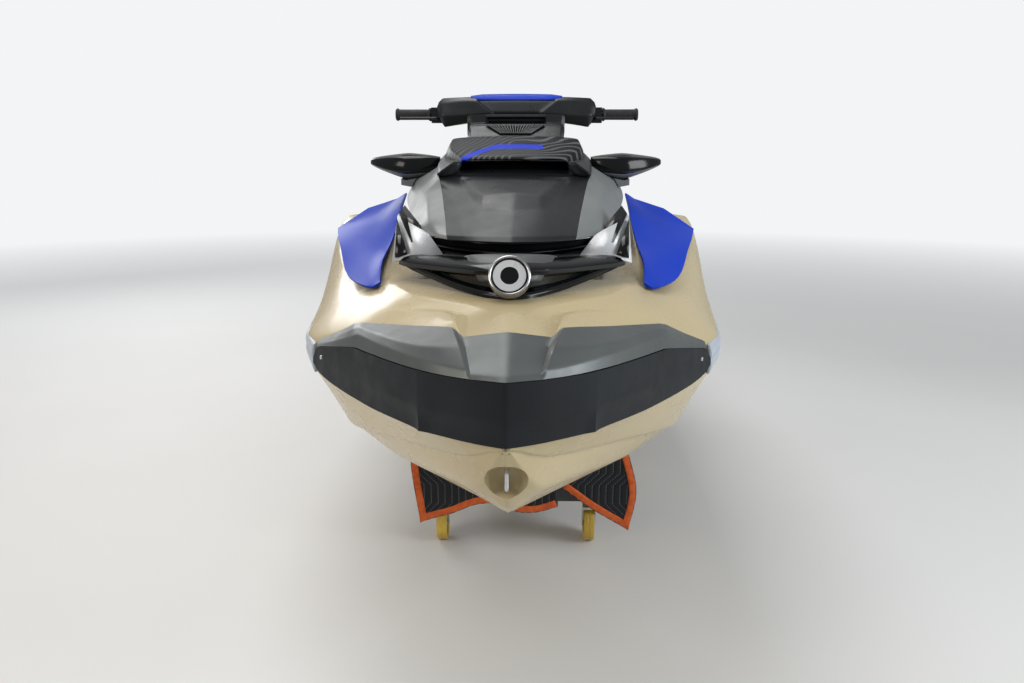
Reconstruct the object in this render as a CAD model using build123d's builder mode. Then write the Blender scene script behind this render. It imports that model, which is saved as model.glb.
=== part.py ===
"""Personal watercraft on a wheeled workshop dolly, in millimetres.

X runs across the craft, +Y from bow to stern and +Z up. The origin lies on the floor under
the middle of the craft. "aft" is a distance behind the bow tip, "up" a height above the keel.
"""
import os
from math import cos, radians, sin, tan

from build123d import *

os.makedirs("parts", exist_ok=True)

# Driving dimensions of the craft
LENGTH = 3450.0  # bow tip to the edge of the swim platform
BEAM = 1255.0  # over the side rails
KEEL_Z = 360.0  # keel above the floor, on the dolly
BOW_Y = -LENGTH / 2
HALF_BEAM = BEAM / 2
TRANSOM = 3250.0  # aft station of the hull's flat transom
SLOPE = tan(radians(21.0))  # rise of the planing bottom, from the keel outward
GAP = 0.3  # seat between neighbouring pieces
LIP = 6.0  # rail's stand-out from the hull and the deck
RAIL_DEPTH = 26.0  # how far a side rail reaches in from its outer face
BUMPER_DEPTH = 100.0  # how far the bow bumper reaches in, measured across the craft
BUMPER_END = 600.0  # where the bow bumper stops and the side rails start
WALL = 12.0  # moulded shells and tubs

# Cockpit; each row holds one opening
FOOTWELL = {"inner": 190.0, "outer": 520.0, "floor": 300.0, "front": 1440.0, "rear": 2900.0}
PLATFORM = {"up": 440.0, "front": 2960.0, "half": 530.0}
BIN = {"half": 200.0, "front": 700.0, "rear": 1170.0, "floor": 330.0}
SILL_UP = 662.0  # deck under the hood
SEAT_UP = 640.0  # top of the seat base
SEAT = {"front": 1650.0, "front_length": 676.0, "rear_length": 456.0, "joint": 8.0}
GLOVEBOX = {
    "half": 115.0, "front": SEAT["front"] - 134.0, "rear": SEAT["front"] - 16.0,
    "floor": SEAT_UP - 140.0, "lid": 10.0,
}
MAT = 5.0

# Jet drive, on its own centreline
PUMP = {"up": 150.0, "outer_r": 92.0, "bore_r": 78.0, "flange": 14.0, "end": 3262.0, "exit_r": 44.0}
TUNNEL = {"half": 125.0, "top": 275.0, "front": 2880.0}
INTAKE = {"half": 80.0, "front": 2330.0}
NOZZLE = {"pivot": 3272.0, "front": 3296.0, "length": 90.0, "outer_r": 64.0, "inner_r": 54.0}
BUCKET = {"pivot": 3300.0, "inner_r": 120.0, "wall": 8.0, "half": 112.0, "pin_r": 6.0}
STEP = {"aft": 3292.0, "up": 120.0, "half": 200.0, "arm": 245.0, "tube_r": 12.0}
PYLON = {"aft": 2872.0, "tube_r": 19.0, "depth": 350.0}
IMPELLER = {"aft": TUNNEL["front"] + 115.0, "hub_r": 26.0, "shaft_r": 12.0, "blade_r": 73.0}

# Joints of the front end
HINGE = {"aft": 535.0, "drop": 23.0, "pin_r": 5.0, "boss_r": 9.0}  # drop is under the hood's lip
COLUMN = {"aft": 1392.0, "up": 880.0, "lean": 35.0, "r": 18.0, "seat": 60.0}
BAR = {"reach": 193.5, "rise": 44.0, "r": 11.0, "half": 401.0}  # reach is along the column
BAR_AFT = COLUMN["aft"] + BAR["reach"] * sin(radians(COLUMN["lean"]))
BAR_LOW = COLUMN["up"] + BAR["reach"] * cos(radians(COLUMN["lean"]))
BAR_UP = BAR_LOW + BAR["rise"]

# Dolly
CASTER = {"wheel_r": 62.5, "wheel_w": 28.0, "hub_w": 38.0, "trail": 38.0, "half": 253.0, "axle_r": 6.0}
DOLLY = {"front": 1290.0, "rear": 2490.0, "tube": 50.0, "top": 215.0}
BUNK = {"x": 262.0, "half": 62.0, "thick": 38.0, "front": 1200.0, "rear": 2600.0}
BLANKET = 6.0

# Sheer line of the craft, by station: half width, lower edge and upper edge of the rail
# columns: aft, half, low, high
SHEER = [
    (0, 4, 434, 562),
    (40, 85, 434, 560),
    (100, 165, 433, 558),
    (200, 250, 432, 555),
    (350, 350, 431, 549),
    (550, 490, 440, 508),
    (730, 552, 446, 503),
    (1100, 600, 444, 501),
    (1500, HALF_BEAM, 438, 495),
    (2400, HALF_BEAM - 3, 425, 480),
    (3000, HALF_BEAM - 16, 410, 465),
    (TRANSOM, HALF_BEAM - 28, 404, 459),
    (LENGTH, HALF_BEAM - 60, 400, 440),
]

# Hull bottom; the inner chine lies on the deadrise plane behind aft 1000
# columns: aft, keel, inner chine half, inner chine up, outer chine half, outer chine up
HULL = [
    (30, 404, 20, 410, 34, 424),
    (60, 352, 32, 368, 52, 404),
    (90, 306, 52, 336, 76, 390),
    (120, 270, 68, 312, 96, 380),
    (150, 244, 82, 300, 114, 374),
    (240, 200, 130, 288, 174, 354),
    (350, 158, 190, 264, 245, 335),
    (550, 70, 290, 222, 372, 292),
    (730, 26, 352, 190, 450, 252),
    (1000, 0, 410, 410 * SLOPE, 505, 216),
    (1500, 0, 440, 440 * SLOPE, 555, 205),
    (2400, 0, 445, 445 * SLOPE, 568, 198),
    (2880, 0, 442, 442 * SLOPE, 562, 196),
    (TRANSOM, 0, 435, 435 * SLOPE, 550, 192),
]

# Round dish at the stem, its axis level, with the bow eye in it
DISH = {"aft": 125.0, "up": 337.0, "depth": 115.0, "floor_r": 30.0, "mouth_r": 56.0, "eye_r": 5.0}

# Deck crown
# columns: aft, shoulder half, up, crest half, up, inner half, up, valley half, up, middle up
DECK = [
    (0, 2.8, 567, 2.1, 568, 1.4, 568.5, 0.7, 569, 569.5),
    (140, 96, 582, 60, 603, 36, 616, 14, 624, 628),
    (222, 119, 626, 92, 630, 62, 634, 30, 637, 639),
    (420, 346, 590, 300, 615, 250, 634, 200, 650, 656),
    (620, 424, 602, 330, 632, 322, 640, 305, 655, SILL_UP),
    (850, 490, 610, 455, 646, 345, 680, 325, 664, SILL_UP),
    (1100, 560, 622, 528, 688, 350, 750, 330, 668, SILL_UP),
    (1300, 598, 636, 566, 738, 360, 790, 335, 690, SILL_UP),
    (1420, 606, 642, 570, 755, 420, 775, 300, 700, SILL_UP),
    (1500, 612, 640, 578, 745, 530, 750, 250, SEAT_UP, SEAT_UP),
    (1640, 612, 628, 582, 728, 530, 736, 200, SEAT_UP, SEAT_UP),
    (2000, 612, 592, 588, 668, 530, 678, 200, SEAT_UP, SEAT_UP),
    (2900, 600, 532, 575, 575, 530, 580, 200, SEAT_UP, SEAT_UP),
    (2930, 598, 528, 573, 568, 530, 572, 200, 600, 600),
    (3080, 592, 500, 565, 520, 530, 522, 200, 500, 500),
    (LENGTH, 560, 470, 545, 478, 530, 480, 200, 480, 480),
]

# Cap over the bumper: its upper edge seen from above, columns: half, aft
CAP_TOP = [(0, 140), (88, 166), (116, 206), (207, 296), (346, 416), (476, BUMPER_END)]

# Colour panels on the shoulders, columns: aft, outer half, up, crease half, up, inner half, up
PANEL = [
    (640, 345, 642, 338, 648, 330, 655),
    (750, 432, 640, 372, 664, 345, 686),
    (950, 488, 668, 422, 703, 344, 740),
    (1200, 548, 722, 405, 775, 346, 806),
    (1300, 380, 812, 364, 822, 350, 830),
]

# Hood, columns: aft, edge half, up, flank half, up, top half, up, middle up
HOOD = [
    (505, 30, 752, 24, 757, 14, 760, 761),
    (620, 165, 765, 150, 785, 100, 790, 791),
    (720, 224, 772, 200, 800, 130, 820, 825),
    (950, 290, 795, 250, 860, 205, 885, 895),
    (1150, 330, 830, 300, 885, 220, 930, 950),
    (1300, 335, 850, 310, 890, 220, 940, 960),
]
HINGE_UP = HOOD[0][-1] - HINGE["drop"]


def across(aft):
    """Plane across the craft at a station; its local x and y are X and Z."""
    return Plane.XZ.offset(-(BOW_Y + aft))


def level(up):
    """Horizontal plane at a height above the keel, its origin at the bow tip."""
    return Plane(origin=(0, BOW_Y, KEEL_Z + up), x_dir=(1, 0, 0), z_dir=(0, 0, 1))


def side(half):
    """Plane along the craft at X = half; local x is aft from the bow tip, local y is up."""
    return Plane(origin=(half, BOW_Y, KEEL_Z), x_dir=(0, 1, 0), z_dir=(1, 0, 0))


def spot(half, aft, up):
    """Position on the craft in the shared frame."""
    return (half, BOW_Y + aft, KEEL_Z + up)


def between(table, aft, column):
    """Value of one column of a station table, in line between its rows."""
    for row, after in zip(table, table[1:]):
        if aft <= after[0]:
            share = (aft - row[0]) / (after[0] - row[0])
            return row[column] + share * (after[column] - row[column])
    return table[-1][column]


def stations(start, end, *tables):
    """Every station of the tables between two limits, with the limits."""
    inside = {row[0] for table in tables for row in table if start < row[0] < end}
    return sorted(inside | {start, end})


def pairs(table, aft):
    """The (half, up) points of a station table at a station, without its last column."""
    row = [between(table, aft, column) for column in range(1, len(table[0]))]
    return list(zip(row[0::2], row[1::2]))


def mirrored(points):
    """Closed outline from its right half, which starts and ends on the middle."""
    return points + [(-x, z) for x, z in reversed(points) if abs(x) > 1e-6]


def flipped(points, x_sign):
    """Outline moved to the side that the sign names."""
    return [(x_sign * x, z) for x, z in points]


def lofted(planes_and_points):
    """Ruled solid through closed outlines, each on its own plane."""
    with BuildPart() as body:
        for plane, points in planes_and_points:
            with BuildSketch(plane):
                with BuildLine():
                    Polyline(*points, close=True)
                make_face()
        loft(ruled=True)
    return body.part


def station_loft(sections):
    """Ruled solid through sections across the craft: (aft, points above the keel)."""
    return lofted([(across(aft), [(x, KEEL_Z + z) for x, z in points]) for aft, points in sections])


def faceted(sections):
    """Solid with flat facets through sections across the craft; bent quads are halved."""
    rings = [[Vector(*spot(x, aft, z)) for x, z in points] for aft, points in sections]
    faces = [Face(Wire.make_polygon(ring)) for ring in (rings[0], rings[-1])]
    for ring, after in zip(rings, rings[1:]):
        for k, corner in enumerate(ring):
            quad = [ring[k - 1], corner, after[k], after[k - 1]]
            normal = (quad[1] - quad[0]).cross(quad[3] - quad[0]).normalized()
            if abs(normal.dot(quad[2] - quad[0])) < 1e-6:
                faces.append(Face(Wire.make_polygon(quad)))
                continue
            if (quad[2] - quad[0]).length > (quad[3] - quad[1]).length:
                quad = quad[1:] + quad[:1]
            for corners in (quad[:3], [quad[2], quad[3], quad[0]]):
                faces.append(Face(Wire.make_polygon(corners)))
    return Solid(Shell(faces))


def side_loft(sections):
    """Ruled solid through sections along the craft: (half, points of aft and up)."""
    return lofted([(side(half), points) for half, points in sections])


def plate(plane, points, amount):
    """Flat outline on a plane, extruded."""
    with BuildPart() as body:
        with BuildSketch(plane):
            with BuildLine():
                Polyline(*points, close=True)
            make_face()
        extrude(amount=amount)
    return body.part


def block(half, aft, up):
    """Box between two values each of X, aft and up."""
    points = [(half[0], aft[0]), (half[1], aft[0]), (half[1], aft[1]), (half[0], aft[1])]
    return plate(level(up[0]), points, up[1] - up[0])


def rod(start, end, radius):
    """Round bar between two spots of the craft."""
    with BuildPart() as bar:
        with BuildLine() as path:
            Line(spot(*start), spot(*end))
        with BuildSketch(Plane(origin=path.line @ 0, z_dir=path.line % 0)):
            Circle(radius)
        sweep()
    return bar.part


def bent_rod(points, corner, radius):
    """Round bar along straight runs joined by arcs, through spots of the craft."""
    with BuildPart() as bar:
        with BuildLine() as path:
            FilletPolyline(*[spot(*point) for point in points], radius=corner)
        with BuildSketch(Plane(origin=path.line @ 0, z_dir=path.line % 0)):
            Circle(radius)
        sweep()
    return bar.part


def export(piece, name):
    piece.label = name
    export_step(piece, f"parts/{name}.step")


def low(aft):
    """Height of the hull's top and the deck's underside at a station."""
    return between(SHEER, aft, 2)


def high(aft):
    """Height of the rail's upper edge at a station."""
    return between(SHEER, aft, 3)


def slab(top):
    """Everything under one of the sheer's two edges."""
    wide = HALF_BEAM + 100
    return faceted([
        (aft, [(-wide, -200), (wide, -200), (wide, top(aft)), (-wide, top(aft))])
        for aft in stations(-20, LENGTH + 20, SHEER)
    ])


def upright(outline, bottom, top):
    """Upright prism from the right half of its outline seen from above."""
    return plate(level(bottom), mirrored(outline), top - bottom)


def core(set_in, end):
    """Prism inside the sheer's outline, set in across the craft."""
    nose = SHEER[1][0] * (set_in - SHEER[0][1]) / (SHEER[1][1] - SHEER[0][1])
    rows = [row for row in SHEER if nose < row[0] < end]
    outline = [(0, nose)] + [(row[1] - set_in, row[0]) for row in rows]
    outline += [(between(SHEER, end, 1) - set_in, end), (0, end)]
    return upright(outline, 300, 1200)


def crown_loft():
    """Solid from the deck's underside up to the moulded top, out to the rails."""
    sections = []
    for aft in stations(0, LENGTH, DECK, SHEER):
        half = between(SHEER, aft, 1)
        points = [(0, low(aft)), (half, low(aft)), (half, high(aft))]
        points.append((max(half - LIP, 0.8 * half), high(aft)))
        points += pairs(DECK, aft) + [(0, between(DECK, aft, 9))]
        sections.append((aft, mirrored(points)))
    return faceted(sections)


def hull_loft():
    """Solid from the keel up to the sheer's lower edge."""
    sections = []
    for aft in stations(HULL[0][0], TRANSOM, HULL, SHEER):
        points = [(0, between(HULL, aft, 1))]
        points += [(between(HULL, aft, 2), between(HULL, aft, 3))]
        points += [(between(HULL, aft, 4), between(HULL, aft, 5))]
        points += [(between(SHEER, aft, 1) - LIP, low(aft)), (0, low(aft))]
        sections.append((aft, mirrored(points)))
    return faceted(sections)


def footwell(x_sign, grow=0.0):
    """Space of one footwell, grown by a wall."""
    inner, outer = FOOTWELL["inner"] - grow, FOOTWELL["outer"] + grow
    front, rear, floor = FOOTWELL["front"] - grow, FOOTWELL["rear"] + grow, FOOTWELL["floor"] - grow
    outline = [(front, 900), (front, 430), (front + 90, floor), (rear - 100, floor)]
    outline += [(rear + 60, PLATFORM["up"] - grow), (rear + 60, 900)]
    return plate(side(x_sign * inner), outline, x_sign * (outer - inner))


def box_space(box, top, grow=0.0):
    """Space of a storage box that opens upward, grown by a wall."""
    return block(
        (-box["half"] - grow, box["half"] + grow), (box["front"] - grow, box["rear"] + grow),
        (box["floor"] - grow, top),
    )


def hood_solid():
    """Outer form of the hood, filled."""
    sections = []
    for aft in [row[0] for row in HOOD]:
        points = pairs(HOOD, aft)
        sections.append((aft, mirrored([(0, points[0][1])] + points + [(0, between(HOOD, aft, 7))])))
    return station_loft(sections)


def hood_hollow():
    """Inside of the hood, one wall in from its outer form."""
    sections = []
    for aft in stations(HINGE["aft"] + 12, HOOD[-1][0] - WALL, HOOD):
        edge, flank, top = pairs(HOOD, aft)
        sections.append((aft, mirrored([
            (0, edge[1] - 60), (edge[0] - WALL, edge[1] - 60), (edge[0] - WALL, edge[1]),
            (flank[0] - WALL, flank[1] - 4), (top[0] - 6, top[1] - WALL),
            (0, between(HOOD, aft, 7) - WALL),
        ])))
    return station_loft(sections)


def column_plane(distance):
    """Plane square to the steering axis at a distance along it."""
    lean = radians(COLUMN["lean"])
    origin = spot(0, COLUMN["aft"] + distance * sin(lean), COLUMN["up"] + distance * cos(lean))
    return Plane(origin=origin, x_dir=(1, 0, 0), z_dir=(0, sin(lean), cos(lean)))


def pump_ring(aft, length, outer_r, inner_r, end_outer_r=None, end_inner_r=None):
    """Ring about the jet's centreline, tapered where its end radii are given."""
    with BuildPart() as ring:
        for radius, end_radius, mode in (
            (outer_r, end_outer_r or outer_r, Mode.ADD), (inner_r, end_inner_r or inner_r, Mode.SUBTRACT),
        ):
            with BuildSketch(across(aft)):
                with Locations((0, KEEL_Z + PUMP["up"])):
                    Circle(radius)
            with BuildSketch(across(aft + length)):
                with Locations((0, KEEL_Z + PUMP["up"])):
                    Circle(end_radius)
            loft(mode=mode)
    return ring.part


# Shared solids that several sub-parts are cut from
crown = crown_loft()
under_rail = slab(high)
under_sheer = slab(low)
front = block((-HALF_BEAM - 50, HALF_BEAM + 50), (-10, BUMPER_END), (300, 900))
rear = block((-HALF_BEAM - 50, HALF_BEAM + 50), (BUMPER_END, LENGTH + 10), (300, 900))
bumper_zone = (front & under_rail) - core(BUMPER_DEPTH, BUMPER_END + 5)
cap_zone = front - under_rail - upright(CAP_TOP + [(0, BUMPER_END)], 300, 900)
rail_zone = (rear & under_rail) - core(RAIL_DEPTH, LENGTH - RAIL_DEPTH)
hood_outer = hood_solid()
hood_shell = hood_outer - hood_hollow()

# Hull
with BuildPart() as hull:
    add(hull_loft())
    add(footwell(1, WALL), mode=Mode.SUBTRACT)
    add(footwell(-1, WALL), mode=Mode.SUBTRACT)
    add(box_space(BIN, 900, WALL), mode=Mode.SUBTRACT)
    add(block((-TUNNEL["half"], TUNNEL["half"]), (TUNNEL["front"], TRANSOM + 10),
              (-10, TUNNEL["top"])), mode=Mode.SUBTRACT)
    with BuildSketch(side(-INTAKE["half"])):
        with BuildLine():
            Polyline(
                (INTAKE["front"], -20), (TUNNEL["front"] + 5, PUMP["up"] + PUMP["bore_r"]),
                (TUNNEL["front"] + 5, -20), close=True,
            )
        make_face()
    extrude(amount=2 * INTAKE["half"], mode=Mode.SUBTRACT)
    with Locations(Location(spot(0, DISH["aft"] - DISH["depth"] / 2, DISH["up"]), (90, 0, 0))):
        Cone(DISH["floor_r"], DISH["mouth_r"], DISH["depth"], mode=Mode.SUBTRACT)
    with Locations(spot(0, PYLON["aft"], SEAT_UP - PYLON["depth"] + 300)):
        Cylinder(PYLON["tube_r"] + GAP, 600, mode=Mode.SUBTRACT)

# Bow bumper, the faceted cap over it and the side rails
with BuildPart() as bow_bumper:
    add(crown)
    add(bumper_zone, mode=Mode.INTERSECT)

with BuildPart() as bumper_cap:
    add(crown)
    add(cap_zone, mode=Mode.INTERSECT)

with BuildPart() as side_rails:
    add(crown)
    add(rail_zone, mode=Mode.INTERSECT)
    add(block((-HALF_BEAM, HALF_BEAM), (BUMPER_END - 10, BUMPER_END + GAP), (300, 900)), mode=Mode.SUBTRACT)

# Deck with its footwells, bins and swim platform
with BuildPart() as deck:
    add(crown)
    for zone in (bumper_zone, cap_zone, rail_zone):
        add(zone, mode=Mode.SUBTRACT)
    for x_sign in (1, -1):
        add(footwell(x_sign, WALL) & under_sheer)
    add(box_space(BIN, 900, WALL) & under_sheer)
    for x_sign in (1, -1):
        add(footwell(x_sign), mode=Mode.SUBTRACT)
    add(box_space(BIN, 900), mode=Mode.SUBTRACT)
    add(box_space(GLOVEBOX, 900), mode=Mode.SUBTRACT)
    add(block((-PLATFORM["half"], PLATFORM["half"]), (PLATFORM["front"], LENGTH + 10),
              (PLATFORM["up"], 900)), mode=Mode.SUBTRACT)
    with Locations(spot(0, PYLON["aft"], SEAT_UP - PYLON["depth"] + 300)):
        Cylinder(PYLON["tube_r"] + GAP, 600, mode=Mode.SUBTRACT)

# Colour panels on the shoulders
with BuildPart() as shoulder_panels:
    for x_sign in (1, -1):
        add(station_loft([
            (row[0], flipped([(row[1], 560)] + list(zip(row[1::2], row[2::2])) + [(row[5], 560)], x_sign))
            for row in PANEL
        ]))
    add(crown, mode=Mode.SUBTRACT)

# Nose grille under the hood's lip
with BuildPart() as nose_grille:
    add(lofted([
        (level(640), mirrored([(0, 378), (60, 384), (150, 440), (262, 600), (305, 760), (305, 850), (0, 850)])),
        (level(740), mirrored([(0, 470), (60, 476), (120, 518), (198, 640), (242, 760), (262, 850), (0, 850)])),
    ]))
    add(upright([(0, 490), (60, 497), (106, 533), (180, 655), (222, 770), (238, 860), (0, 860)], 600, 800),
        mode=Mode.SUBTRACT)
    add(crown, mode=Mode.SUBTRACT)

# Round badge, left blank
with BuildPart() as nose_badge:
    with Locations(Location(spot(0, 424, 694), (68, 0, 0))):
        Cylinder(48, 70)
    add(nose_grille.part, mode=Mode.SUBTRACT)
    add(block((-60, 60), (440, 520), (600, 800)), mode=Mode.SUBTRACT)
    add(crown, mode=Mode.SUBTRACT)

# Hinge posts of the hood, with their pin
with BuildPart() as hood_hinge:
    for half in (-29, 17):
        with BuildSketch(side(half)):
            with Locations((HINGE["aft"], HINGE_UP)):
                Circle(HINGE["boss_r"])
            with BuildLine():
                Polyline(
                    (HINGE["aft"] - HINGE["boss_r"], HINGE_UP), (HINGE["aft"] + HINGE["boss_r"], HINGE_UP),
                    (HINGE["aft"] + HINGE["boss_r"] + 12, 640), (HINGE["aft"] - HINGE["boss_r"], 640), close=True,
                )
            make_face()
        extrude(amount=12)
    add(rod((-29, HINGE["aft"], HINGE_UP), (29, HINGE["aft"], HINGE_UP), HINGE["pin_r"]))
    add(crown, mode=Mode.SUBTRACT)

# Hood: dark centre with the hinge eye, and the two flanks
hood_middle = upright([(0, 480)] + [(row[5], row[0]) for row in HOOD] + [(0, 1310)], 600, 1200)
with BuildPart() as hood_cover:
    add(hood_shell)
    add(hood_middle, mode=Mode.INTERSECT)
    with BuildSketch(side(-15)):
        with Locations((HINGE["aft"], HINGE_UP)):
            Circle(HINGE["boss_r"])
        with BuildLine():
            Polyline(
                (HINGE["aft"] - HINGE["boss_r"], HINGE_UP), (HINGE["aft"] + HINGE["boss_r"], HINGE_UP),
                (HINGE["aft"] + HINGE["boss_r"], HINGE_UP + 25), (HINGE["aft"] - HINGE["boss_r"], HINGE_UP + 25), close=True,
            )
        make_face()
    extrude(amount=30)
    add(rod((-20, HINGE["aft"], HINGE_UP), (20, HINGE["aft"], HINGE_UP), HINGE["pin_r"] + GAP),
        mode=Mode.SUBTRACT)

with BuildPart() as hood_flanks:
    add(hood_shell)
    add(hood_middle, mode=Mode.SUBTRACT)

# Wind deflector and gauge cowl on the hood
with BuildPart() as deflector:
    add(station_loft([
        (985, mirrored([(0, 924), (128, 924), (124, 942), (0, 944)])),
        (1000, mirrored([(0, 924), (141, 924), (141, 942), (0, 950)])),
        (1100, mirrored([(0, 900), (192, 900), (192, 966), (0, 980)])),
        (1205, mirrored([(0, 900), (160, 900), (149, 1004), (0, 1013)])),
    ]))
    add(hood_outer, mode=Mode.SUBTRACT)

with BuildPart() as gauge_cowl:
    add(station_loft([
        (1212, mirrored([(0, 900), (150, 900), (140, 1016), (0, 1022)])),
        (1345, mirrored([(0, 960), (150, 962), (138, 1060), (0, 1066)])),
    ]))
    add(hood_outer, mode=Mode.SUBTRACT)

# Mirrors
MIRROR = [
    (226, [(1175, 905), (1240, 905), (1240, 948), (1175, 944)]),
    (330, [(1135, 880), (1256, 885), (1262, 966), (1150, 952)]),
    (449, [(1226, 924), (1256, 924), (1260, 944), (1230, 942)]),
]
with BuildPart() as mirror_shells:
    for x_sign in (1, -1):
        add(side_loft([(x_sign * half, points) for half, points in MIRROR]))
    add(hood_outer, mode=Mode.SUBTRACT)

with BuildPart() as mirror_arms:
    for x_sign in (1, -1):
        add(side_loft([
            (x_sign * 255, [(1165, 850), (1225, 850), (1225, 905), (1165, 905)]),
            (x_sign * 345, [(1160, 868), (1230, 868), (1230, 905), (1160, 905)]),
        ]))
    add(hood_outer, mode=Mode.SUBTRACT)
    add(mirror_shells.part, mode=Mode.SUBTRACT)

with BuildPart() as mirror_glass:
    for x_sign in (1, -1):
        add(side_loft([
            (x_sign * 316, [(1246, 896), (1260, 896), (1265, 955), (1252, 955)]),
            (x_sign * 340, [(1250, 893), (1262, 893), (1267, 958), (1255, 958)]),
            (x_sign * 430, [(1250, 922), (1260, 922), (1263, 941), (1254, 941)]),
        ]))
    add(mirror_shells.part, mode=Mode.SUBTRACT)

# Steering pedestal on the deck
with BuildPart() as steering_pedestal:
    add(side_loft([
        (half, [(1318 + cut, 600), (1318 + cut, 800), (1335 + cut, 918 - cut), (1447 - cut, 838 - cut), (1500, 600)])
        for half, cut in ((-110, 14), (-80, 0), (80, 0), (110, 14))
    ]))
    add(crown, mode=Mode.SUBTRACT)
    with BuildSketch(column_plane(-COLUMN["seat"] - GAP)):
        Circle(COLUMN["r"] + GAP)
    extrude(amount=200, mode=Mode.SUBTRACT)

# Handlebar, its column and what turns with it
BAR_POINTS = [
    (-BAR["half"], BAR_AFT, BAR_UP), (-150, BAR_AFT, BAR_UP), (-70, BAR_AFT, BAR_LOW),
    (70, BAR_AFT, BAR_LOW), (150, BAR_AFT, BAR_UP), (BAR["half"], BAR_AFT, BAR_UP),
]
with BuildPart() as handlebar:
    add(bent_rod(BAR_POINTS, 30, BAR["r"]))

with BuildPart() as steering_column:
    with BuildSketch(column_plane(-COLUMN["seat"])):
        Circle(COLUMN["r"])
    extrude(amount=COLUMN["seat"] + BAR["reach"] - 18)
    with BuildSketch(column_plane(BAR["reach"] - 28)):
        Rectangle(96, 62)
    extrude(amount=52)
    add(handlebar.part, mode=Mode.SUBTRACT)

with BuildPart() as steering_boot:
    with BuildSketch(column_plane(14)):
        Circle(62)
    with BuildSketch(column_plane(150)):
        Circle(44)
    loft()
    add(steering_column.part, mode=Mode.SUBTRACT)

# columns: half, outline as aft and up from the bar's straight ends
PAD = [
    (0, [(-99, -14), (25, -22), (33, 34), (-31, 64), (-93, 40)]),
    (170, [(-89, -6), (23, -16), (27, 26), (-27, 52), (-83, 32)]),
    (260, [(-51, 4), (13, 2), (13, 18), (-21, 26), (-47, 18)]),
]
PAD_TRIM = [
    (0, [(-79, 6), (23, 6), (27, 43), (-31, 70), (-79, 50)]),
    (165, [(-71, 6), (15, 6), (19, 35), (-27, 58), (-71, 42)]),
]


def pad_solid(rows):
    """Both halves of a solid over the handlebar, through outlines placed from the bar."""
    placed = [(half, [(BAR_AFT + aft, BAR_UP + up) for aft, up in points]) for half, points in rows]
    return side_loft([(-half, points) for half, points in reversed(placed[1:])] + placed)


with BuildPart() as steering_pad:
    add(pad_solid(PAD))
    add(handlebar.part, mode=Mode.SUBTRACT)
    add(steering_column.part, mode=Mode.SUBTRACT)

with BuildPart() as pad_trim:
    add(pad_solid(PAD_TRIM))
    add(pad_solid(PAD), mode=Mode.SUBTRACT)

with BuildPart() as grips:
    for x_sign in (1, -1):
        add(rod((x_sign * 285, BAR_AFT, BAR_UP), (x_sign * (BAR["half"] + 4), BAR_AFT, BAR_UP), 17))
    add(handlebar.part, mode=Mode.SUBTRACT)

with BuildPart() as switch_pods:
    for x_sign in (1, -1):
        add(block(sorted((x_sign * 220, x_sign * 283)), (BAR_AFT - 25, BAR_AFT + 27), (BAR_UP - 26, BAR_UP + 24)))
    add(handlebar.part, mode=Mode.SUBTRACT)
    add(steering_pad.part, mode=Mode.SUBTRACT)

with BuildPart() as hand_levers:
    for x_sign in (1, -1):
        add(bent_rod([
            (x_sign * 250, BAR_AFT - 13, BAR_UP - 12), (x_sign * 262, BAR_AFT - 51, BAR_UP - 12),
            (x_sign * 385, BAR_AFT - 41, BAR_UP - 12),
        ], 10, 5))
    add(switch_pods.part, mode=Mode.SUBTRACT)

# Glovebox lid on its hinge, which has the pin
LID = {"aft": GLOVEBOX["front"] - 16, "up": SEAT_UP + 10, "pin_r": 3.0, "knuckle_r": 6.0, "half": 60.0}
with BuildPart() as glovebox_hinge:
    add(rod((-LID["half"] - 26, LID["aft"], LID["up"]), (LID["half"] + 26, LID["aft"], LID["up"]), LID["pin_r"]))
    for x_sign in (1, -1):
        near, far = LID["half"] + 1, LID["half"] + 30
        add(rod((x_sign * near, LID["aft"], LID["up"]), (x_sign * far, LID["aft"], LID["up"]), LID["knuckle_r"]))
        add(block(sorted((x_sign * near, x_sign * far)), (LID["aft"] - 5, LID["aft"] + 5), (600, LID["up"])))
    add(crown, mode=Mode.SUBTRACT)

with BuildPart() as glovebox_lid:
    add(block((-GLOVEBOX["half"] - 14, GLOVEBOX["half"] + 14), (LID["aft"] + 9, GLOVEBOX["rear"] + 10),
              (SEAT_UP + GAP, SEAT_UP + GAP + GLOVEBOX["lid"])))
    add(block((-LID["half"], LID["half"]), (LID["aft"], LID["aft"] + 12), (LID["up"] - 4, LID["up"] + 1)))
    add(rod((-LID["half"], LID["aft"], LID["up"]), (LID["half"], LID["aft"], LID["up"]), LID["knuckle_r"]))
    add(rod((-90, LID["aft"], LID["up"]), (90, LID["aft"], LID["up"]), LID["pin_r"] + GAP), mode=Mode.SUBTRACT)

# Seats
SEAT_SPLIT = SEAT["front"] + SEAT["front_length"]
SEAT_REAR = SEAT_SPLIT + SEAT["joint"] + SEAT["rear_length"]
# columns: aft, half width, shoulder height and top height over the seat base
FRONT_SEAT = [
    (SEAT["front"], 118, 150, 166), (SEAT["front"] + 90, 158, 198, 208),
    (SEAT["front"] + 350, 168, 206, 216), (SEAT_SPLIT, 176, 212, 222),
]
REAR_SEAT = [
    (SEAT_SPLIT + SEAT["joint"], 178, 238, 250), (SEAT_REAR - 290, 184, 246, 256),
    (SEAT_REAR - 90, 182, 240, 252), (SEAT_REAR, 160, 202, 216),
]


def seat_solid(rows):
    """Saddle cushion through the rows of its table."""
    return station_loft([
        (aft, mirrored([
            (0, SEAT_UP + GAP), (half, SEAT_UP + GAP), (half + 8, SEAT_UP + 60),
            (half - 10, SEAT_UP + top - 46), (half - 50, SEAT_UP + top), (0, SEAT_UP + middle),
        ])) for aft, half, top, middle in rows
    ])


with BuildPart() as seat_front:
    add(seat_solid(FRONT_SEAT))

with BuildPart() as seat_rear:
    add(seat_solid(REAR_SEAT))

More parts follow.
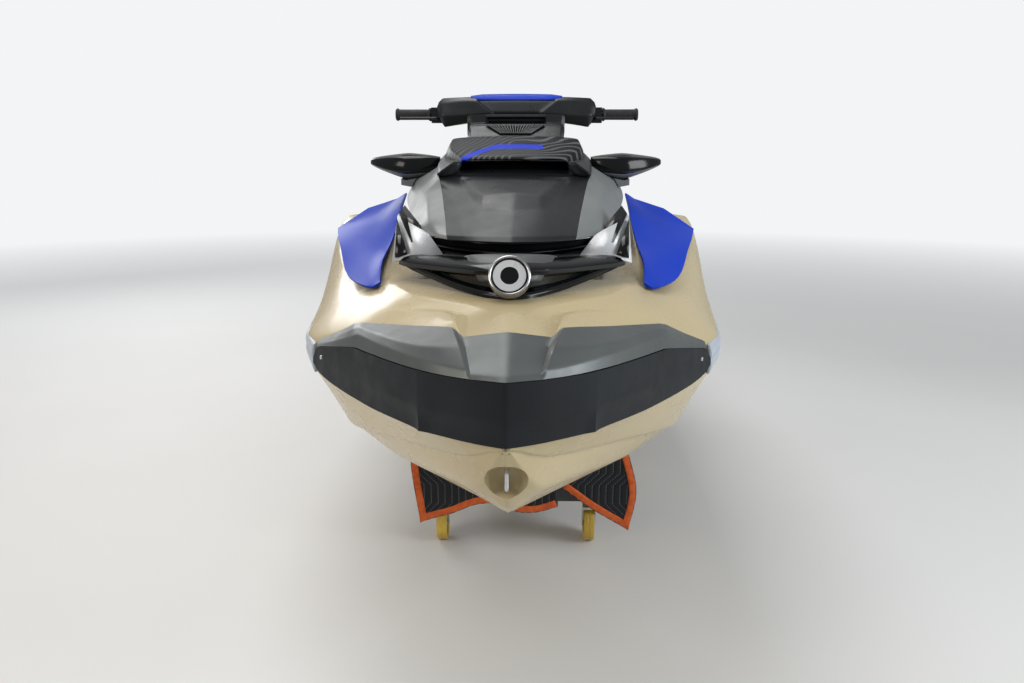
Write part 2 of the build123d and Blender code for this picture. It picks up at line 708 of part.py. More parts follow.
# Grab handle behind the seat
with BuildPart() as grab_handle:
    bar_aft, bar_up = SEAT_REAR + 32, SEAT_UP + 130
    add(bent_rod([
        (-120, bar_aft, SEAT_UP + GAP), (-120, bar_aft, bar_up), (120, bar_aft, bar_up), (120, bar_aft, SEAT_UP + GAP),
    ], 30, 12))

# Tow pylon
with BuildPart() as tow_pylon:
    add(rod((0, PYLON["aft"], SEAT_UP - PYLON["depth"] + 5), (0, PYLON["aft"], SEAT_UP + 20), PYLON["tube_r"]))
    add(rod((0, PYLON["aft"], SEAT_UP + 6), (0, PYLON["aft"], SEAT_UP + 22), 34))
    add(rod((0, PYLON["aft"], SEAT_UP + 22), (0, PYLON["aft"], SEAT_UP + 46), 16))
    add(rod((0, PYLON["aft"], SEAT_UP + 46), (0, PYLON["aft"], SEAT_UP + 58), 32))

# Mats
with BuildPart() as footwell_mats:
    for x_sign in (1, -1):
        add(block(sorted((x_sign * (FOOTWELL["inner"] + 8), x_sign * (FOOTWELL["outer"] - 8))),
                  (FOOTWELL["front"] + 100, FOOTWELL["rear"] - 110),
                  (FOOTWELL["floor"] + GAP, FOOTWELL["floor"] + GAP + MAT)))

with BuildPart() as platform_mat:
    add(block((-PLATFORM["half"] + 60, PLATFORM["half"] - 60), (PLATFORM["front"] + 60, LENGTH - RAIL_DEPTH - 8),
              (PLATFORM["up"] + GAP, PLATFORM["up"] + GAP + MAT)))

# Sponsons under the chines
with BuildPart() as sponsons:
    for x_sign in (1, -1):
        add(station_loft([
            (2350, flipped([(540, 215), (575, 215), (580, 250), (540, 250)], x_sign)),
            (2420, flipped([(500, 196), (604, 206), (610, 262), (500, 262)], x_sign)),
            (3080, flipped([(500, 190), (600, 200), (606, 264), (500, 264)], x_sign)),
            (3140, flipped([(500, 190), (580, 200), (584, 258), (500, 258)], x_sign)),
        ]))
    add(hull_loft(), mode=Mode.SUBTRACT)

# Ride plate, intake grate, pump, nozzle and bucket
with BuildPart() as pump_housing:
    add(pump_ring(TUNNEL["front"], 270, PUMP["outer_r"], PUMP["bore_r"]))
    add(pump_ring(TUNNEL["front"] + 270, PUMP["end"] - TUNNEL["front"] - 270, PUMP["outer_r"],
                  PUMP["bore_r"], PUMP["exit_r"] + 12, PUMP["exit_r"]))
    with BuildSketch(across(TUNNEL["front"])):
        with Locations((0, KEEL_Z + PUMP["up"])):
            Rectangle(2 * 110, 2 * 100)
            Circle(PUMP["bore_r"], mode=Mode.SUBTRACT)
    extrude(amount=-PUMP["flange"])
    with BuildSketch(across(IMPELLER["aft"] + 55)):
        with Locations((0, KEEL_Z + PUMP["up"])):
            Circle(28)
            with PolarLocations(PUMP["bore_r"] / 2, 5, start_angle=90):
                Rectangle(PUMP["bore_r"] + 2, 6)
    extrude(amount=-95)
    with BuildSketch(across(IMPELLER["aft"] + 45)):
        with Locations((0, KEEL_Z + PUMP["up"])):
            Circle(IMPELLER["shaft_r"] + GAP)
    extrude(amount=-60, mode=Mode.SUBTRACT)
    # pivot lugs of the nozzle, above and below the exit
    for z_sign in (1, -1):
        with BuildSketch(level(PUMP["up"] + z_sign * 50)):
            with Locations((0, 3262)):
                Rectangle(28, 44)
        extrude(amount=z_sign * 22)
        with BuildSketch(level(PUMP["up"] + z_sign * 40)):
            with Locations((0, NOZZLE["pivot"])):
                Circle(5 + GAP)
        extrude(amount=z_sign * 40, mode=Mode.SUBTRACT)
    # side brackets of the bucket
    for x_sign in (1, -1):
        add(block(sorted((x_sign * 100, x_sign * 112)), (3200, BUCKET["pivot"] + 14),
                  (PUMP["up"] - 14, PUMP["up"] + 14)))
        add(block(sorted((x_sign * 66, x_sign * 104)), (3200, 3226), (PUMP["up"] - 14, PUMP["up"] + 14)))
        add(rod((x_sign * 100, BUCKET["pivot"], PUMP["up"]),
                (x_sign * (BUCKET["half"] + BUCKET["wall"]), BUCKET["pivot"], PUMP["up"]), BUCKET["pin_r"]))

with BuildPart() as impeller:
    with BuildSketch(across(IMPELLER["aft"] - 45)):
        with Locations((0, KEEL_Z + PUMP["up"])):
            Circle(IMPELLER["hub_r"])
    extrude(amount=-92)
    with BuildSketch(across(IMPELLER["aft"] + 45)):
        with Locations((0, KEEL_Z + PUMP["up"])):
            Circle(IMPELLER["shaft_r"])
    extrude(amount=-50)
    blade = (IMPELLER["blade_r"] + IMPELLER["hub_r"] - 3) / 2
    for turn in range(4):
        with Locations(Location(spot(0, IMPELLER["aft"], PUMP["up"]), (0, 90 * turn, 0))):
            with Locations(Location((blade, 0, 0), (30, 0, 0))):
                Box(2 * (IMPELLER["blade_r"] - blade), 84, 5)

with BuildPart() as steering_nozzle:
    add(pump_ring(NOZZLE["front"], NOZZLE["length"], NOZZLE["outer_r"], NOZZLE["inner_r"],
                  NOZZLE["outer_r"] - 8, NOZZLE["inner_r"] - 8))
    for z_sign in (1, -1):
        with BuildSketch(level(PUMP["up"] + z_sign * (72 + 6))):
            with Locations((0, NOZZLE["pivot"] + 14)):
                Rectangle(26, 52)
        extrude(amount=z_sign * 10)
        with BuildSketch(level(PUMP["up"] + z_sign * 54)):
            with Locations((0, NOZZLE["front"] + 8)):
                Rectangle(26, 16)
        extrude(amount=z_sign * 30)
        with BuildSketch(level(PUMP["up"] + z_sign * 52)):
            with Locations((0, NOZZLE["pivot"])):
                Circle(5)
        extrude(amount=z_sign * 34)
    add(pump_ring(NOZZLE["front"] - 40, 200, NOZZLE["inner_r"] - 9, 1), mode=Mode.SUBTRACT)

with BuildPart() as reverse_bucket:
    with BuildSketch(side(-BUCKET["half"] - BUCKET["wall"])):
        with Locations((BUCKET["pivot"], PUMP["up"])):
            Circle(BUCKET["inner_r"] + BUCKET["wall"])
            Circle(BUCKET["inner_r"], mode=Mode.SUBTRACT)
        with BuildLine():
            Polyline(
                (BUCKET["pivot"], PUMP["up"]), (BUCKET["pivot"] + 300 * cos(radians(38)), PUMP["up"] + 300 * sin(radians(38))),
                (BUCKET["pivot"] - 300 * cos(radians(75)), PUMP["up"] + 300 * sin(radians(75))), close=True,
            )
        make_face(mode=Mode.INTERSECT)
    extrude(amount=2 * (BUCKET["half"] + BUCKET["wall"]))
    for half in (-BUCKET["half"] - BUCKET["wall"], BUCKET["half"] + 1):
        with BuildSketch(side(half)):
            with Locations((BUCKET["pivot"], PUMP["up"])):
                Circle(14)
            with BuildLine():
                Polyline(
                    (BUCKET["pivot"] - 12, PUMP["up"] - 6), (BUCKET["pivot"] + 14, PUMP["up"]),
                    (BUCKET["pivot"] + 121 * cos(radians(50)), PUMP["up"] + 121 * sin(radians(50))),
                    (BUCKET["pivot"] - 121 * cos(radians(82)), PUMP["up"] + 121 * sin(radians(82))), close=True,
                )
            make_face()
        extrude(amount=BUCKET["wall"] - 1)
    across_arms = BUCKET["half"] + BUCKET["wall"] + 1
    add(rod((-across_arms, BUCKET["pivot"], PUMP["up"]), (across_arms, BUCKET["pivot"], PUMP["up"]),
            BUCKET["pin_r"] + GAP), mode=Mode.SUBTRACT)

with BuildPart() as ride_plate:
    add(block((-TUNNEL["half"] + GAP, TUNNEL["half"] - GAP), (TUNNEL["front"] + 20, 3245), (34, 46)))
    add(block((-44, 44), (TUNNEL["front"] + 40, 3100), (40, 90)))
    add(pump_ring(TUNNEL["front"], 270, PUMP["outer_r"] + GAP, 1), mode=Mode.SUBTRACT)
    add(block((-50, 50), (2900, 3120), (100, 200)), mode=Mode.SUBTRACT)

with BuildPart() as intake_grate:
    for half in (-45, -15, 15, 45):
        add(block((half - 4, half + 4), (INTAKE["front"] + 20, 2860), (18, 32)))
    add(block((-INTAKE["half"] + GAP, INTAKE["half"] - GAP), (2840, 2866), (14, 34)))
    add(hull.part, mode=Mode.SUBTRACT)

# Boarding step and its brackets
with BuildPart() as step_brackets:
    for x_sign in (1, -1):
        with BuildSketch(side(x_sign * 170)):
            with Locations((STEP["aft"], STEP["up"])):
                Circle(16)
            with BuildLine():
                Polyline((TRANSOM, STEP["up"] - 22), (STEP["aft"], STEP["up"] - 16), (STEP["aft"], STEP["up"] + 16),
                         (TRANSOM, STEP["up"] + 30), close=True)
            make_face()
        extrude(amount=x_sign * 12)
        add(rod((x_sign * 170, STEP["aft"], STEP["up"]), (x_sign * 205, STEP["aft"], STEP["up"]), 6))

with BuildPart() as boarding_step:
    add(bent_rod([
        (-STEP["half"], STEP["aft"], STEP["up"] - 16), (-STEP["half"], STEP["aft"], STEP["up"] + STEP["arm"]),
        (STEP["half"], STEP["aft"], STEP["up"] + STEP["arm"]), (STEP["half"], STEP["aft"], STEP["up"] - 16),
    ], 40, STEP["tube_r"]))
    add(rod((-STEP["half"] - 15, STEP["aft"], STEP["up"]), (STEP["half"] + 15, STEP["aft"], STEP["up"]), 6 + GAP),
        mode=Mode.SUBTRACT)
    add(block((-150, 150), (STEP["aft"] - 26, STEP["aft"] + 26), (STEP["up"] + STEP["arm"] - 16, STEP["up"] + STEP["arm"] + 16)))

# Bow eye in its dish
with BuildPart() as bow_eye:
    loop_aft, root_aft = DISH["aft"] - 32, DISH["aft"] + 22
    add(bent_rod([
        (0, root_aft, DISH["up"] + 23), (0, loop_aft, DISH["up"] + 23),
        (0, loop_aft, DISH["up"] - 23), (0, root_aft, DISH["up"] - 23),
    ], 10, DISH["eye_r"]))
    add(hull.part, mode=Mode.SUBTRACT)

# Fuel cap and mooring cleats
with BuildPart() as fuel_cap:
    with Locations(Location(spot(-556, 1960, 664), (0, 0, 0))):
        Cylinder(30, 60)
    add(crown, mode=Mode.SUBTRACT)

with BuildPart() as mooring_cleats:
    for half in (-500, 500):
        add(block((half - 14, half + 14), (LENGTH - 250, LENGTH - 130), (PLATFORM["up"] + GAP, PLATFORM["up"] + 22)))

# Dolly
with BuildPart() as dolly_bunks:
    for x_sign in (1, -1):
        inner, outer = BUNK["x"] - BUNK["half"], BUNK["x"] + BUNK["half"]
        top = BLANKET / cos(radians(21))
        add(plate(across(BUNK["front"]), [
            (x_sign * x, KEEL_Z + x * SLOPE - drop)
            for x, drop in ((inner, top), (outer, top), (outer, top + BUNK["thick"]), (inner, top + BUNK["thick"]))
        ], BUNK["front"] - BUNK["rear"]))

with BuildPart() as dolly_frame:
    tube, top = DOLLY["tube"], DOLLY["top"] - KEEL_Z
    for x_sign in (1, -1):
        rail = sorted((x_sign * (CASTER["half"] - tube / 2), x_sign * (CASTER["half"] + tube / 2)))
        add(block(rail, (DOLLY["front"] - 60, DOLLY["rear"] + 60), (top - tube, top)))
        for aft in (DOLLY["front"] + 60, DOLLY["rear"] - 60):
            add(block(rail, (aft - 20, aft + 20), (top, 200)))
    for aft in (DOLLY["front"], (DOLLY["front"] + DOLLY["rear"]) / 2, DOLLY["rear"]):
        inner = CASTER["half"] - tube / 2
        add(block((-inner, inner), (aft - tube / 2, aft + tube / 2), (top - tube, top)))
    over_bunks = station_loft([
        (aft, mirrored([(0, -BLANKET / cos(radians(21)) - BUNK["thick"]),
                        (400, 400 * SLOPE - BLANKET / cos(radians(21)) - BUNK["thick"]), (400, 400), (0, 400)]))
        for aft in (1100, 2700)
    ])
    add(over_bunks, mode=Mode.SUBTRACT)

with BuildPart() as caster_housings:
    for x_sign in (1, -1):
        for aft in (DOLLY["front"], DOLLY["rear"]):
            with Locations(spot(x_sign * CASTER["half"], aft, DOLLY["top"] - DOLLY["tube"] - KEEL_Z - 7.5)):
                Cylinder(26, 15)
                Cylinder(9 + GAP, 15, mode=Mode.SUBTRACT)


def caster_fork(x_sign, aft):
    """Swivelling fork with its stem and axle, its wheel trailing behind it."""
    bottom = -KEEL_Z
    x = x_sign * CASTER["half"]
    leg = CASTER["hub_w"] / 2 + 0.5
    fork = block((x - leg - 3, x + leg + 3), (aft - 24, aft + 24), (bottom + 134, bottom + 142))
    fork += rod((x, aft, bottom + 138), (x, aft, bottom + 164), 9)
    for sign in (1, -1):
        plane = side(x + sign * leg)
        fork += plate(plane, [
            (aft - 22, bottom + 140), (aft + 22, bottom + 140),
            (aft + CASTER["trail"] + 14, bottom + CASTER["wheel_r"] + 8),
            (aft + CASTER["trail"] + 8, bottom + CASTER["wheel_r"] - 14),
            (aft + CASTER["trail"] - 14, bottom + CASTER["wheel_r"] - 4),
        ], sign * 3)
    axle_up = bottom + CASTER["wheel_r"]
    fork += rod((x - leg - 3, aft + CASTER["trail"], axle_up), (x + leg + 3, aft + CASTER["trail"], axle_up), CASTER["axle_r"])
    return fork


def caster_wheel(x_sign, aft):
    """Wheel with its hub, bored for the axle."""
    x = x_sign * CASTER["half"]
    at = (aft + CASTER["trail"], CASTER["wheel_r"] - KEEL_Z)
    wheel = rod((x - CASTER["wheel_w"] / 2, *at), (x + CASTER["wheel_w"] / 2, *at), CASTER["wheel_r"])
    wheel += rod((x - CASTER["hub_w"] / 2, *at), (x + CASTER["hub_w"] / 2, *at), 14)
    return wheel - rod((x - 40, *at), (x + 40, *at), CASTER["axle_r"] + GAP)


CASTERS = {
    "front_left": (1, DOLLY["front"]), "front_right": (-1, DOLLY["front"]),
    "rear_left": (1, DOLLY["rear"]), "rear_right": (-1, DOLLY["rear"]),
}
for name, (x_sign, aft) in CASTERS.items():
    with BuildPart() as fork:
        add(caster_fork(x_sign, aft))
    export(fork.part, f"caster_fork_{name}")
    with BuildPart() as wheel:
        add(caster_wheel(x_sign, aft))
    export(wheel.part, f"caster_wheel_{name}")

# Padded blankets between hull and bunks, each with a flap that hangs in front
FLAPS = {
    1: [(157, 90), (157, -116), (249, -186), (375, -263), (411, -134), (352, 60), (352, 170)],
    -1: [(-345, 170), (-345, 0), (-314, -239), (-209, -210), (-127, -172), (-55, -168), (4, -203), (86, -203),
         (141, -179), (141, 90)],
}


def blanket(x_sign):
    """Sheet that lies on one bunk, with its hanging flap."""
    drop = BLANKET / cos(radians(21))
    inner, outer = BUNK["x"] - BUNK["half"] - 12, BUNK["x"] + BUNK["half"] + 20
    sheet = plate(across(BUNK["front"] - 10), [
        (x_sign * inner, KEEL_Z + inner * SLOPE), (x_sign * outer, KEEL_Z + outer * SLOPE),
        (x_sign * outer, KEEL_Z + outer * SLOPE - drop), (x_sign * inner, KEEL_Z + inner * SLOPE - drop),
    ], BUNK["front"] - BUNK["rear"] - 50)
    flap = plate(across(BUNK["front"] - 10 - BLANKET), [(x, KEEL_Z + z) for x, z in FLAPS[x_sign]], -BLANKET)
    return sheet + flap


with BuildPart() as blanket_left:
    add(blanket(1))
    add(hull_loft(), mode=Mode.SUBTRACT)

with BuildPart() as blanket_right:
    add(blanket(-1))
    add(hull_loft(), mode=Mode.SUBTRACT)

for piece, name in (
    (hull, "hull"), (bow_bumper, "bow_bumper"), (bumper_cap, "bumper_cap"), (side_rails, "side_rails"),
    (deck, "deck"), (shoulder_panels, "shoulder_panels"), (nose_grille, "nose_grille"),
    (nose_badge, "nose_badge"), (hood_hinge, "hood_hinge"), (hood_cover, "hood_cover"),
    (hood_flanks, "hood_flanks"), (deflector, "deflector"), (gauge_cowl, "gauge_cowl"),
    (mirror_shells, "mirror_shells"), (mirror_arms, "mirror_arms"), (mirror_glass, "mirror_glass"),
    (steering_pedestal, "steering_pedestal"), (handlebar, "handlebar"), (steering_column, "steering_column"),
    (steering_boot, "steering_boot"), (steering_pad, "steering_pad"), (pad_trim, "pad_trim"),
    (grips, "grips"), (switch_pods, "switch_pods"), (hand_levers, "hand_levers"),
    (glovebox_lid, "glovebox_lid"), (glovebox_hinge, "glovebox_hinge"), (seat_front, "seat_front"),
    (seat_rear, "seat_rear"), (grab_handle, "grab_handle"), (tow_pylon, "tow_pylon"),
    (footwell_mats, "footwell_mats"), (platform_mat, "platform_mat"), (sponsons, "sponsons"),
    (pump_housing, "pump_housing"), (impeller, "impeller"), (steering_nozzle, "steering_nozzle"),
    (reverse_bucket, "reverse_bucket"), (ride_plate, "ride_plate"), (intake_grate, "intake_grate"),
    (step_brackets, "step_brackets"), (boarding_step, "boarding_step"), (bow_eye, "bow_eye"),
    (fuel_cap, "fuel_cap"), (mooring_cleats, "mooring_cleats"), (dolly_bunks, "dolly_bunks"),
    (dolly_frame, "dolly_frame"), (caster_housings, "caster_housings"),
    (blanket_left, "blanket_left"), (blanket_right, "blanket_right"),
):
    export(piece.part, name)
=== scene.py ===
import math

import bmesh
import bpy
from mathutils import Matrix, Vector
from mathutils.bvhtree import BVHTree


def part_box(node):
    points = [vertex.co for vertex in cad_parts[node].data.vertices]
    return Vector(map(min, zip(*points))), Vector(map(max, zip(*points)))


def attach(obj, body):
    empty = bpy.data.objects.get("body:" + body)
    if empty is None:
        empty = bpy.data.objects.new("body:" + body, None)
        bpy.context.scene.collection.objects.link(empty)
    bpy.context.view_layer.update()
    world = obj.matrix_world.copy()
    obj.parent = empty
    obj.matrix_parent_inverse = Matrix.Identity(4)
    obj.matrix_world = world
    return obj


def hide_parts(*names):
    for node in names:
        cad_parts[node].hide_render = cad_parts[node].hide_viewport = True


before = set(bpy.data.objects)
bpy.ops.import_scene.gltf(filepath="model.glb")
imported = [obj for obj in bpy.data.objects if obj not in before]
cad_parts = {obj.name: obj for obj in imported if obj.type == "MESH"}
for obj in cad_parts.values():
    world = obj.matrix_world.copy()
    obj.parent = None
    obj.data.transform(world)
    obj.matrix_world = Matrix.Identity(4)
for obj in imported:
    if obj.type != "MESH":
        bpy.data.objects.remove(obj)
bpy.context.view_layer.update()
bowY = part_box("bow_bumper")[0].y  # the bow tip
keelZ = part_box("hull")[0].z  # the keel line
print("frame loaded:", len(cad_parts), "nodes")


def placed(name, data):  # a new object, linked to the scene
    made = bpy.data.objects.new(name, data)
    bpy.context.scene.collection.objects.link(made)
    return made


# camera, as the photograph was taken
view = {"place": (0.0423, -3.325, 1.36), "pitch": 77.4, "turn": 0.01863, "lens": 31.64, "sensor": 36}
camera = placed("camera", bpy.data.cameras.new("camera"))
camera.location = view["place"]
camera.rotation_euler = (math.radians(view["pitch"]), 0, view["turn"])
camera.data.lens = view["lens"]
camera.data.sensor_width = view["sensor"]
bpy.context.scene.camera = camera
bpy.context.scene.view_settings.view_transform = "Standard"


# materials: sockets as values that take Python's own maths

class Signal:
    def __init__(self, finish, socket):
        self.finish, self.socket = finish, socket

    def maths(self, operation, first, second):
        return self.finish.node("ShaderNodeMath", {"operation": operation}, {0: first, 1: second})

    def __add__(self, other):
        return self.maths("ADD", self, other)

    def __sub__(self, other):
        return self.maths("SUBTRACT", self, other)

    def __rsub__(self, other):
        return self.maths("SUBTRACT", other, self)

    def __mul__(self, other):
        return self.maths("MULTIPLY", self, other)

    def __pow__(self, other):
        return self.maths("POWER", self, other)

    __radd__, __rmul__ = __add__, __mul__


for method, operation in {"above": "GREATER_THAN", "below": "LESS_THAN", "least": "MINIMUM", "most": "MAXIMUM",
                          "size": "ABSOLUTE", "wave": "SINE", "fold": "PINGPONG"}.items():
    setattr(Signal, method, lambda self, other=0, kind=operation: self.maths(kind, self, other))


class Finish:
    def __init__(self, name, colour, roughness, metallic=0.0, **fixed):
        self.material = bpy.data.materials.new(name)
        self.material.use_nodes = True
        self.tree = self.material.node_tree
        self.shader = self.tree.nodes["Principled BSDF"]
        self.colour, self.roughness = (*colour, 1), roughness
        self.set("Base Color", self.colour)
        self.set("Roughness", roughness)
        self.set("Metallic", metallic)
        for key, value in fixed.items():
            self.set(key.replace("_", " "), value)
        self.material.diffuse_color = self.colour

    def set(self, socket, value):
        self.feed(self.shader.inputs[socket], value)

    def feed(self, socket, value):
        if isinstance(value, Signal):
            self.tree.links.new(value.socket, socket)
        else:
            socket.default_value = value

    def node(self, kind, settings, sockets, output=0):
        made = self.tree.nodes.new(kind)
        for key, value in settings.items():
            if key == "stops":
                for stop, (position, level) in zip(made.color_ramp.elements, value):
                    stop.position, stop.color = position, (level, level, level, 1)
            else:
                setattr(made, key, value)
        for key, value in sockets.items():
            self.feed(made.inputs[key], value)
        return Signal(self, made.outputs[output])

    def place(self, scale=(1, 1, 1)):
        at = self.node("ShaderNodeTexCoord", {}, {}, "Object")
        return self.node("ShaderNodeMapping", {}, {"Vector": at, "Scale": scale})

    def axes(self, vector=None):
        vector = vector or self.node("ShaderNodeTexCoord", {}, {}, "Object")
        split = self.node("ShaderNodeSeparateXYZ", {}, {"Vector": vector}, 0)
        outputs = split.socket.node.outputs
        return [Signal(self, outputs[i]) for i in range(3)]

    def noise(self, scale, detail=3.0, stretch=(1, 1, 1), rough=0.5):
        return self.node("ShaderNodeTexNoise", {}, {
            "Vector": self.place(stretch), "Scale": scale, "Detail": detail, "Roughness": rough}, "Fac")

    def cells(self, scale, feature="F1"):
        return self.node("ShaderNodeTexVoronoi", {"feature": feature}, {
            "Vector": self.place(), "Scale": scale}, "Distance")

    def spread(self, value, low, high, toLow=0.0, toHigh=1.0):
        return self.node("ShaderNodeMapRange", {"clamp": True}, {
            "Value": value, "From Min": low, "From Max": high, "To Min": toLow, "To Max": toHigh})

    def blend(self, factor, first, second):
        tidy = [(*c, 1) if isinstance(c, tuple) and len(c) == 3 else c for c in (first, second)]
        return self.node("ShaderNodeMix", {"data_type": "RGBA"}, {0: factor, 6: tidy[0], 7: tidy[1]}, 2)

    def tint(self, factor, colour):
        base = self.shader.inputs["Base Color"]
        now = Signal(self, base.links[0].from_socket) if base.links else self.colour
        self.set("Base Color", self.blend(factor, now, colour))

    def vary(self, value, depth):
        self.set("Roughness", self.spread(value, 0.3, 0.7, self.roughness - depth, self.roughness + depth))

    def bump(self, height, distance, strength=1.0):
        self.set("Normal", self.node("ShaderNodeBump", {}, {
            "Height": height, "Distance": distance, "Strength": strength}, "Normal"))


def glossPaint(name, colour, roughness=0.16, shade=0.86, coat=0.5, specular=0.4):
    paint = Finish(name, colour, roughness, Coat_Weight=coat, Coat_Roughness=0.05, Specular_IOR_Level=specular)
    paint.tint(paint.spread(paint.noise(1.4, 2.0), 0.35, 0.65), tuple(c * shade for c in colour))
    paint.vary(paint.noise(9, 4.0), 0.03)
    paint.bump(paint.noise(45, 1.0), 0.0006, 0.03)  # faint orange peel
    return paint


def satinPlastic(name, colour, roughness=0.42, grain=900, depth=0.0004, wear=1.35, metallic=0.0, specular=0.3):
    moulded = Finish(name, colour, roughness, metallic, Specular_IOR_Level=specular)
    moulded.tint(moulded.spread(moulded.noise(5, 4.0), 0.4, 0.7), tuple(min(1, c * wear) for c in colour))
    moulded.vary(moulded.noise(22, 5.0), 0.06)
    moulded.bump(moulded.cells(grain), depth, 0.35)
    return moulded


def brushedMetal(name, colour, roughness=0.28, stretch=(1, 1, 40), pits=0.0):
    metal = Finish(name, colour, roughness, 1.0)
    metal.tint(metal.spread(metal.noise(16, 5.0), 0.45, 0.75), tuple(c * 0.72 for c in colour))
    metal.vary(metal.noise(60, 4.0, stretch), 0.10)
    metal.bump(metal.noise(90, 4.0, stretch) + pits * metal.noise(400, 2.0), 0.0004, 0.25)
    return metal


gelcoat = glossPaint("gelcoatSand", (0.55, 0.455, 0.27), 0.27, 0.9, 0.12, 0.24)
bumperBlack = satinPlastic("bumperBlack", (0.0085, 0.0105, 0.013), 0.5, 1400, 0.0003, 1.5, 0.0, 0.22)
capGrey = satinPlastic("capGrey", (0.115, 0.126, 0.125), 0.38, 1800, 0.0002, 1.15, 0.45, 0.3)
panelBlue = glossPaint("panelBlue", (0.006, 0.045, 0.5), 0.38, 0.85, 0.03, 0.1)
glossBlack = glossPaint("glossBlack", (0.003, 0.0035, 0.0045), 0.16, 0.7, 0.1, 0.3)
# painted shade: a flat, almost unreflecting black laid into gaps, slots and recesses
paintedShadeBlack = satinPlastic("paintedShadeBlack", (0.003, 0.003, 0.0035), 0.75, 900, 0.0003, 1.5, 0.0, 0.04)
hoodBlack = satinPlastic("hoodBlack", (0.017, 0.019, 0.021), 0.33, 1600, 0.0002, 1.3, 0.35, 0.35)
flankGrey = satinPlastic("flankGrey", (0.2, 0.212, 0.215), 0.42, 1800, 0.0002, 1.12, 0.25)
railGrey = satinPlastic("railGrey", (0.42, 0.47, 0.54), 0.4, 1200, 0.0003, 1.1)
badgeSteel = brushedMetal("badgeSteel", (0.45, 0.45, 0.46), 0.28, (40, 1, 1))
mirrorGlass = Finish("mirrorGlass", (0.86, 0.88, 0.9), 0.04, 1.0)
mirrorGlass.vary(mirrorGlass.noise(30, 4.0), 0.03)
barBlack = satinPlastic("barBlack", (0.02, 0.02, 0.022), 0.34, 700, 0.0003, 1.5)
gripRubber = satinPlastic("gripRubber", (0.022, 0.022, 0.024), 0.62, 500, 0.0008, 1.6)
stainless = brushedMetal("stainlessSteel", (0.66, 0.66, 0.67), 0.2)
pumpAlloy = brushedMetal("castAlloy", (0.5, 0.51, 0.53), 0.46, (1, 1, 1), 1.5)
drivePlastic = satinPlastic("drivePlastic", (0.04, 0.041, 0.044), 0.5, 900, 0.0005, 1.5)
dollyPaint = satinPlastic("dollyPaint", (0.045, 0.046, 0.05), 0.4, 260, 0.0009, 1.8)
zincSteel = brushedMetal("zincSteel", (0.62, 0.61, 0.56), 0.36, (1, 1, 6), 0.6)

seatVinyl = Finish("seatVinyl", (0.035, 0.036, 0.04), 0.48)
seatVinyl.tint(seatVinyl.spread(seatVinyl.noise(7, 4.0), 0.4, 0.7), (0.058, 0.059, 0.064))
seatVinyl.vary(seatVinyl.noise(40, 4.0), 0.07)
seatVinyl.bump(seatVinyl.cells(420, "DISTANCE_TO_EDGE") + 0.6 * seatVinyl.noise(60, 4.0), 0.0012, 0.6)

seatThread = Finish("seatThread", (0.02, 0.05, 0.42), 0.6)
seatThread.bump(seatThread.noise(1800, 2.0), 0.0004, 0.5)

matFoam = Finish("matFoam", (0.10, 0.10, 0.11), 0.85)
across, along, _ = matFoam.axes()
grooves = (along * 250).wave()
matFoam.tint(matFoam.spread(matFoam.noise(300, 2.0), 0.4, 0.6), (0.17, 0.17, 0.18))
matFoam.bump(matFoam.spread(grooves, -0.2, 0.2) + 0.3 * matFoam.noise(500, 2.0), 0.0025, 0.7)

bunkWood = Finish("bunkWood", (0.42, 0.29, 0.16), 0.62)
woodGrain = bunkWood.noise(9, 6.0, (14, 1, 14), 0.6)
bunkWood.tint(bunkWood.spread(woodGrain, 0.38, 0.66), (0.24, 0.15, 0.075))
bunkWood.bump(woodGrain + 0.4 * bunkWood.noise(60, 4.0, (10, 1, 10)), 0.0015, 0.5)

casterYellow = satinPlastic("casterYellow", (0.62, 0.42, 0.09), 0.38, 500, 0.0006, 1.2)
print("finishes made")


def dress(node, finish):
    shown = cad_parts[node]
    for slot in shown.material_slots:
        slot.material = finish.material
    if not shown.material_slots:
        shown.data.materials.append(finish.material)


carried = {
    "hood_hinge": stainless, "mirror_arms": flankGrey, "mirror_glass": mirrorGlass, "steering_pedestal": hoodBlack,
    "handlebar": barBlack, "steering_column": barBlack, "steering_boot": hoodBlack, "switch_pods": hoodBlack,
    "hand_levers": barBlack, "glovebox_lid": hoodBlack, "glovebox_hinge": stainless, "grab_handle": barBlack,
    "tow_pylon": barBlack, "footwell_mats": matFoam, "platform_mat": matFoam, "sponsons": drivePlastic,
    "pump_housing": pumpAlloy, "impeller": stainless, "steering_nozzle": drivePlastic,
    "reverse_bucket": drivePlastic, "ride_plate": drivePlastic, "intake_grate": pumpAlloy,
    "step_brackets": stainless, "boarding_step": stainless, "bow_eye": stainless, "fuel_cap": hoodBlack,
    "mooring_cleats": drivePlastic, "dolly_bunks": bunkWood, "dolly_frame": dollyPaint,
    "caster_housings": zincSteel, "hull": gelcoat, "deck": gelcoat, "bow_bumper": bumperBlack,
    "bumper_cap": capGrey, "side_rails": railGrey, "shoulder_panels": panelBlue, "nose_grille": glossBlack,
    "nose_badge": badgeSteel, "hood_cover": hoodBlack, "hood_flanks": flankGrey, "deflector": glossBlack,
    "gauge_cowl": hoodBlack, "mirror_shells": glossBlack, "steering_pad": hoodBlack, "pad_trim": panelBlue,
    "grips": gripRubber, "seat_front": seatVinyl, "seat_rear": seatVinyl, "blanket_left": gripRubber,
    "blanket_right": gripRubber,
}
for corner in ("front_left", "front_right", "rear_left", "rear_right"):
    carried[f"caster_fork_{corner}"] = zincSteel
    carried[f"caster_wheel_{corner}"] = casterYellow
for node, finish in carried.items():
    dress(node, finish)


def spot(half, aft, up):  # mm across, behind the bow tip and above the keel
    return Vector((half / 1000, bowY + aft / 1000, keelZ + up / 1000))


def spots(rows):
    return [[spot(*p) for p in row] for row in rows]


def bothSides(points):  # a half outline from its outer edge to the middle, and its mirror image
    back = [(-x, y, z) for x, y, z in reversed(points) if abs(x) > 1e-6]
    return list(points) + back


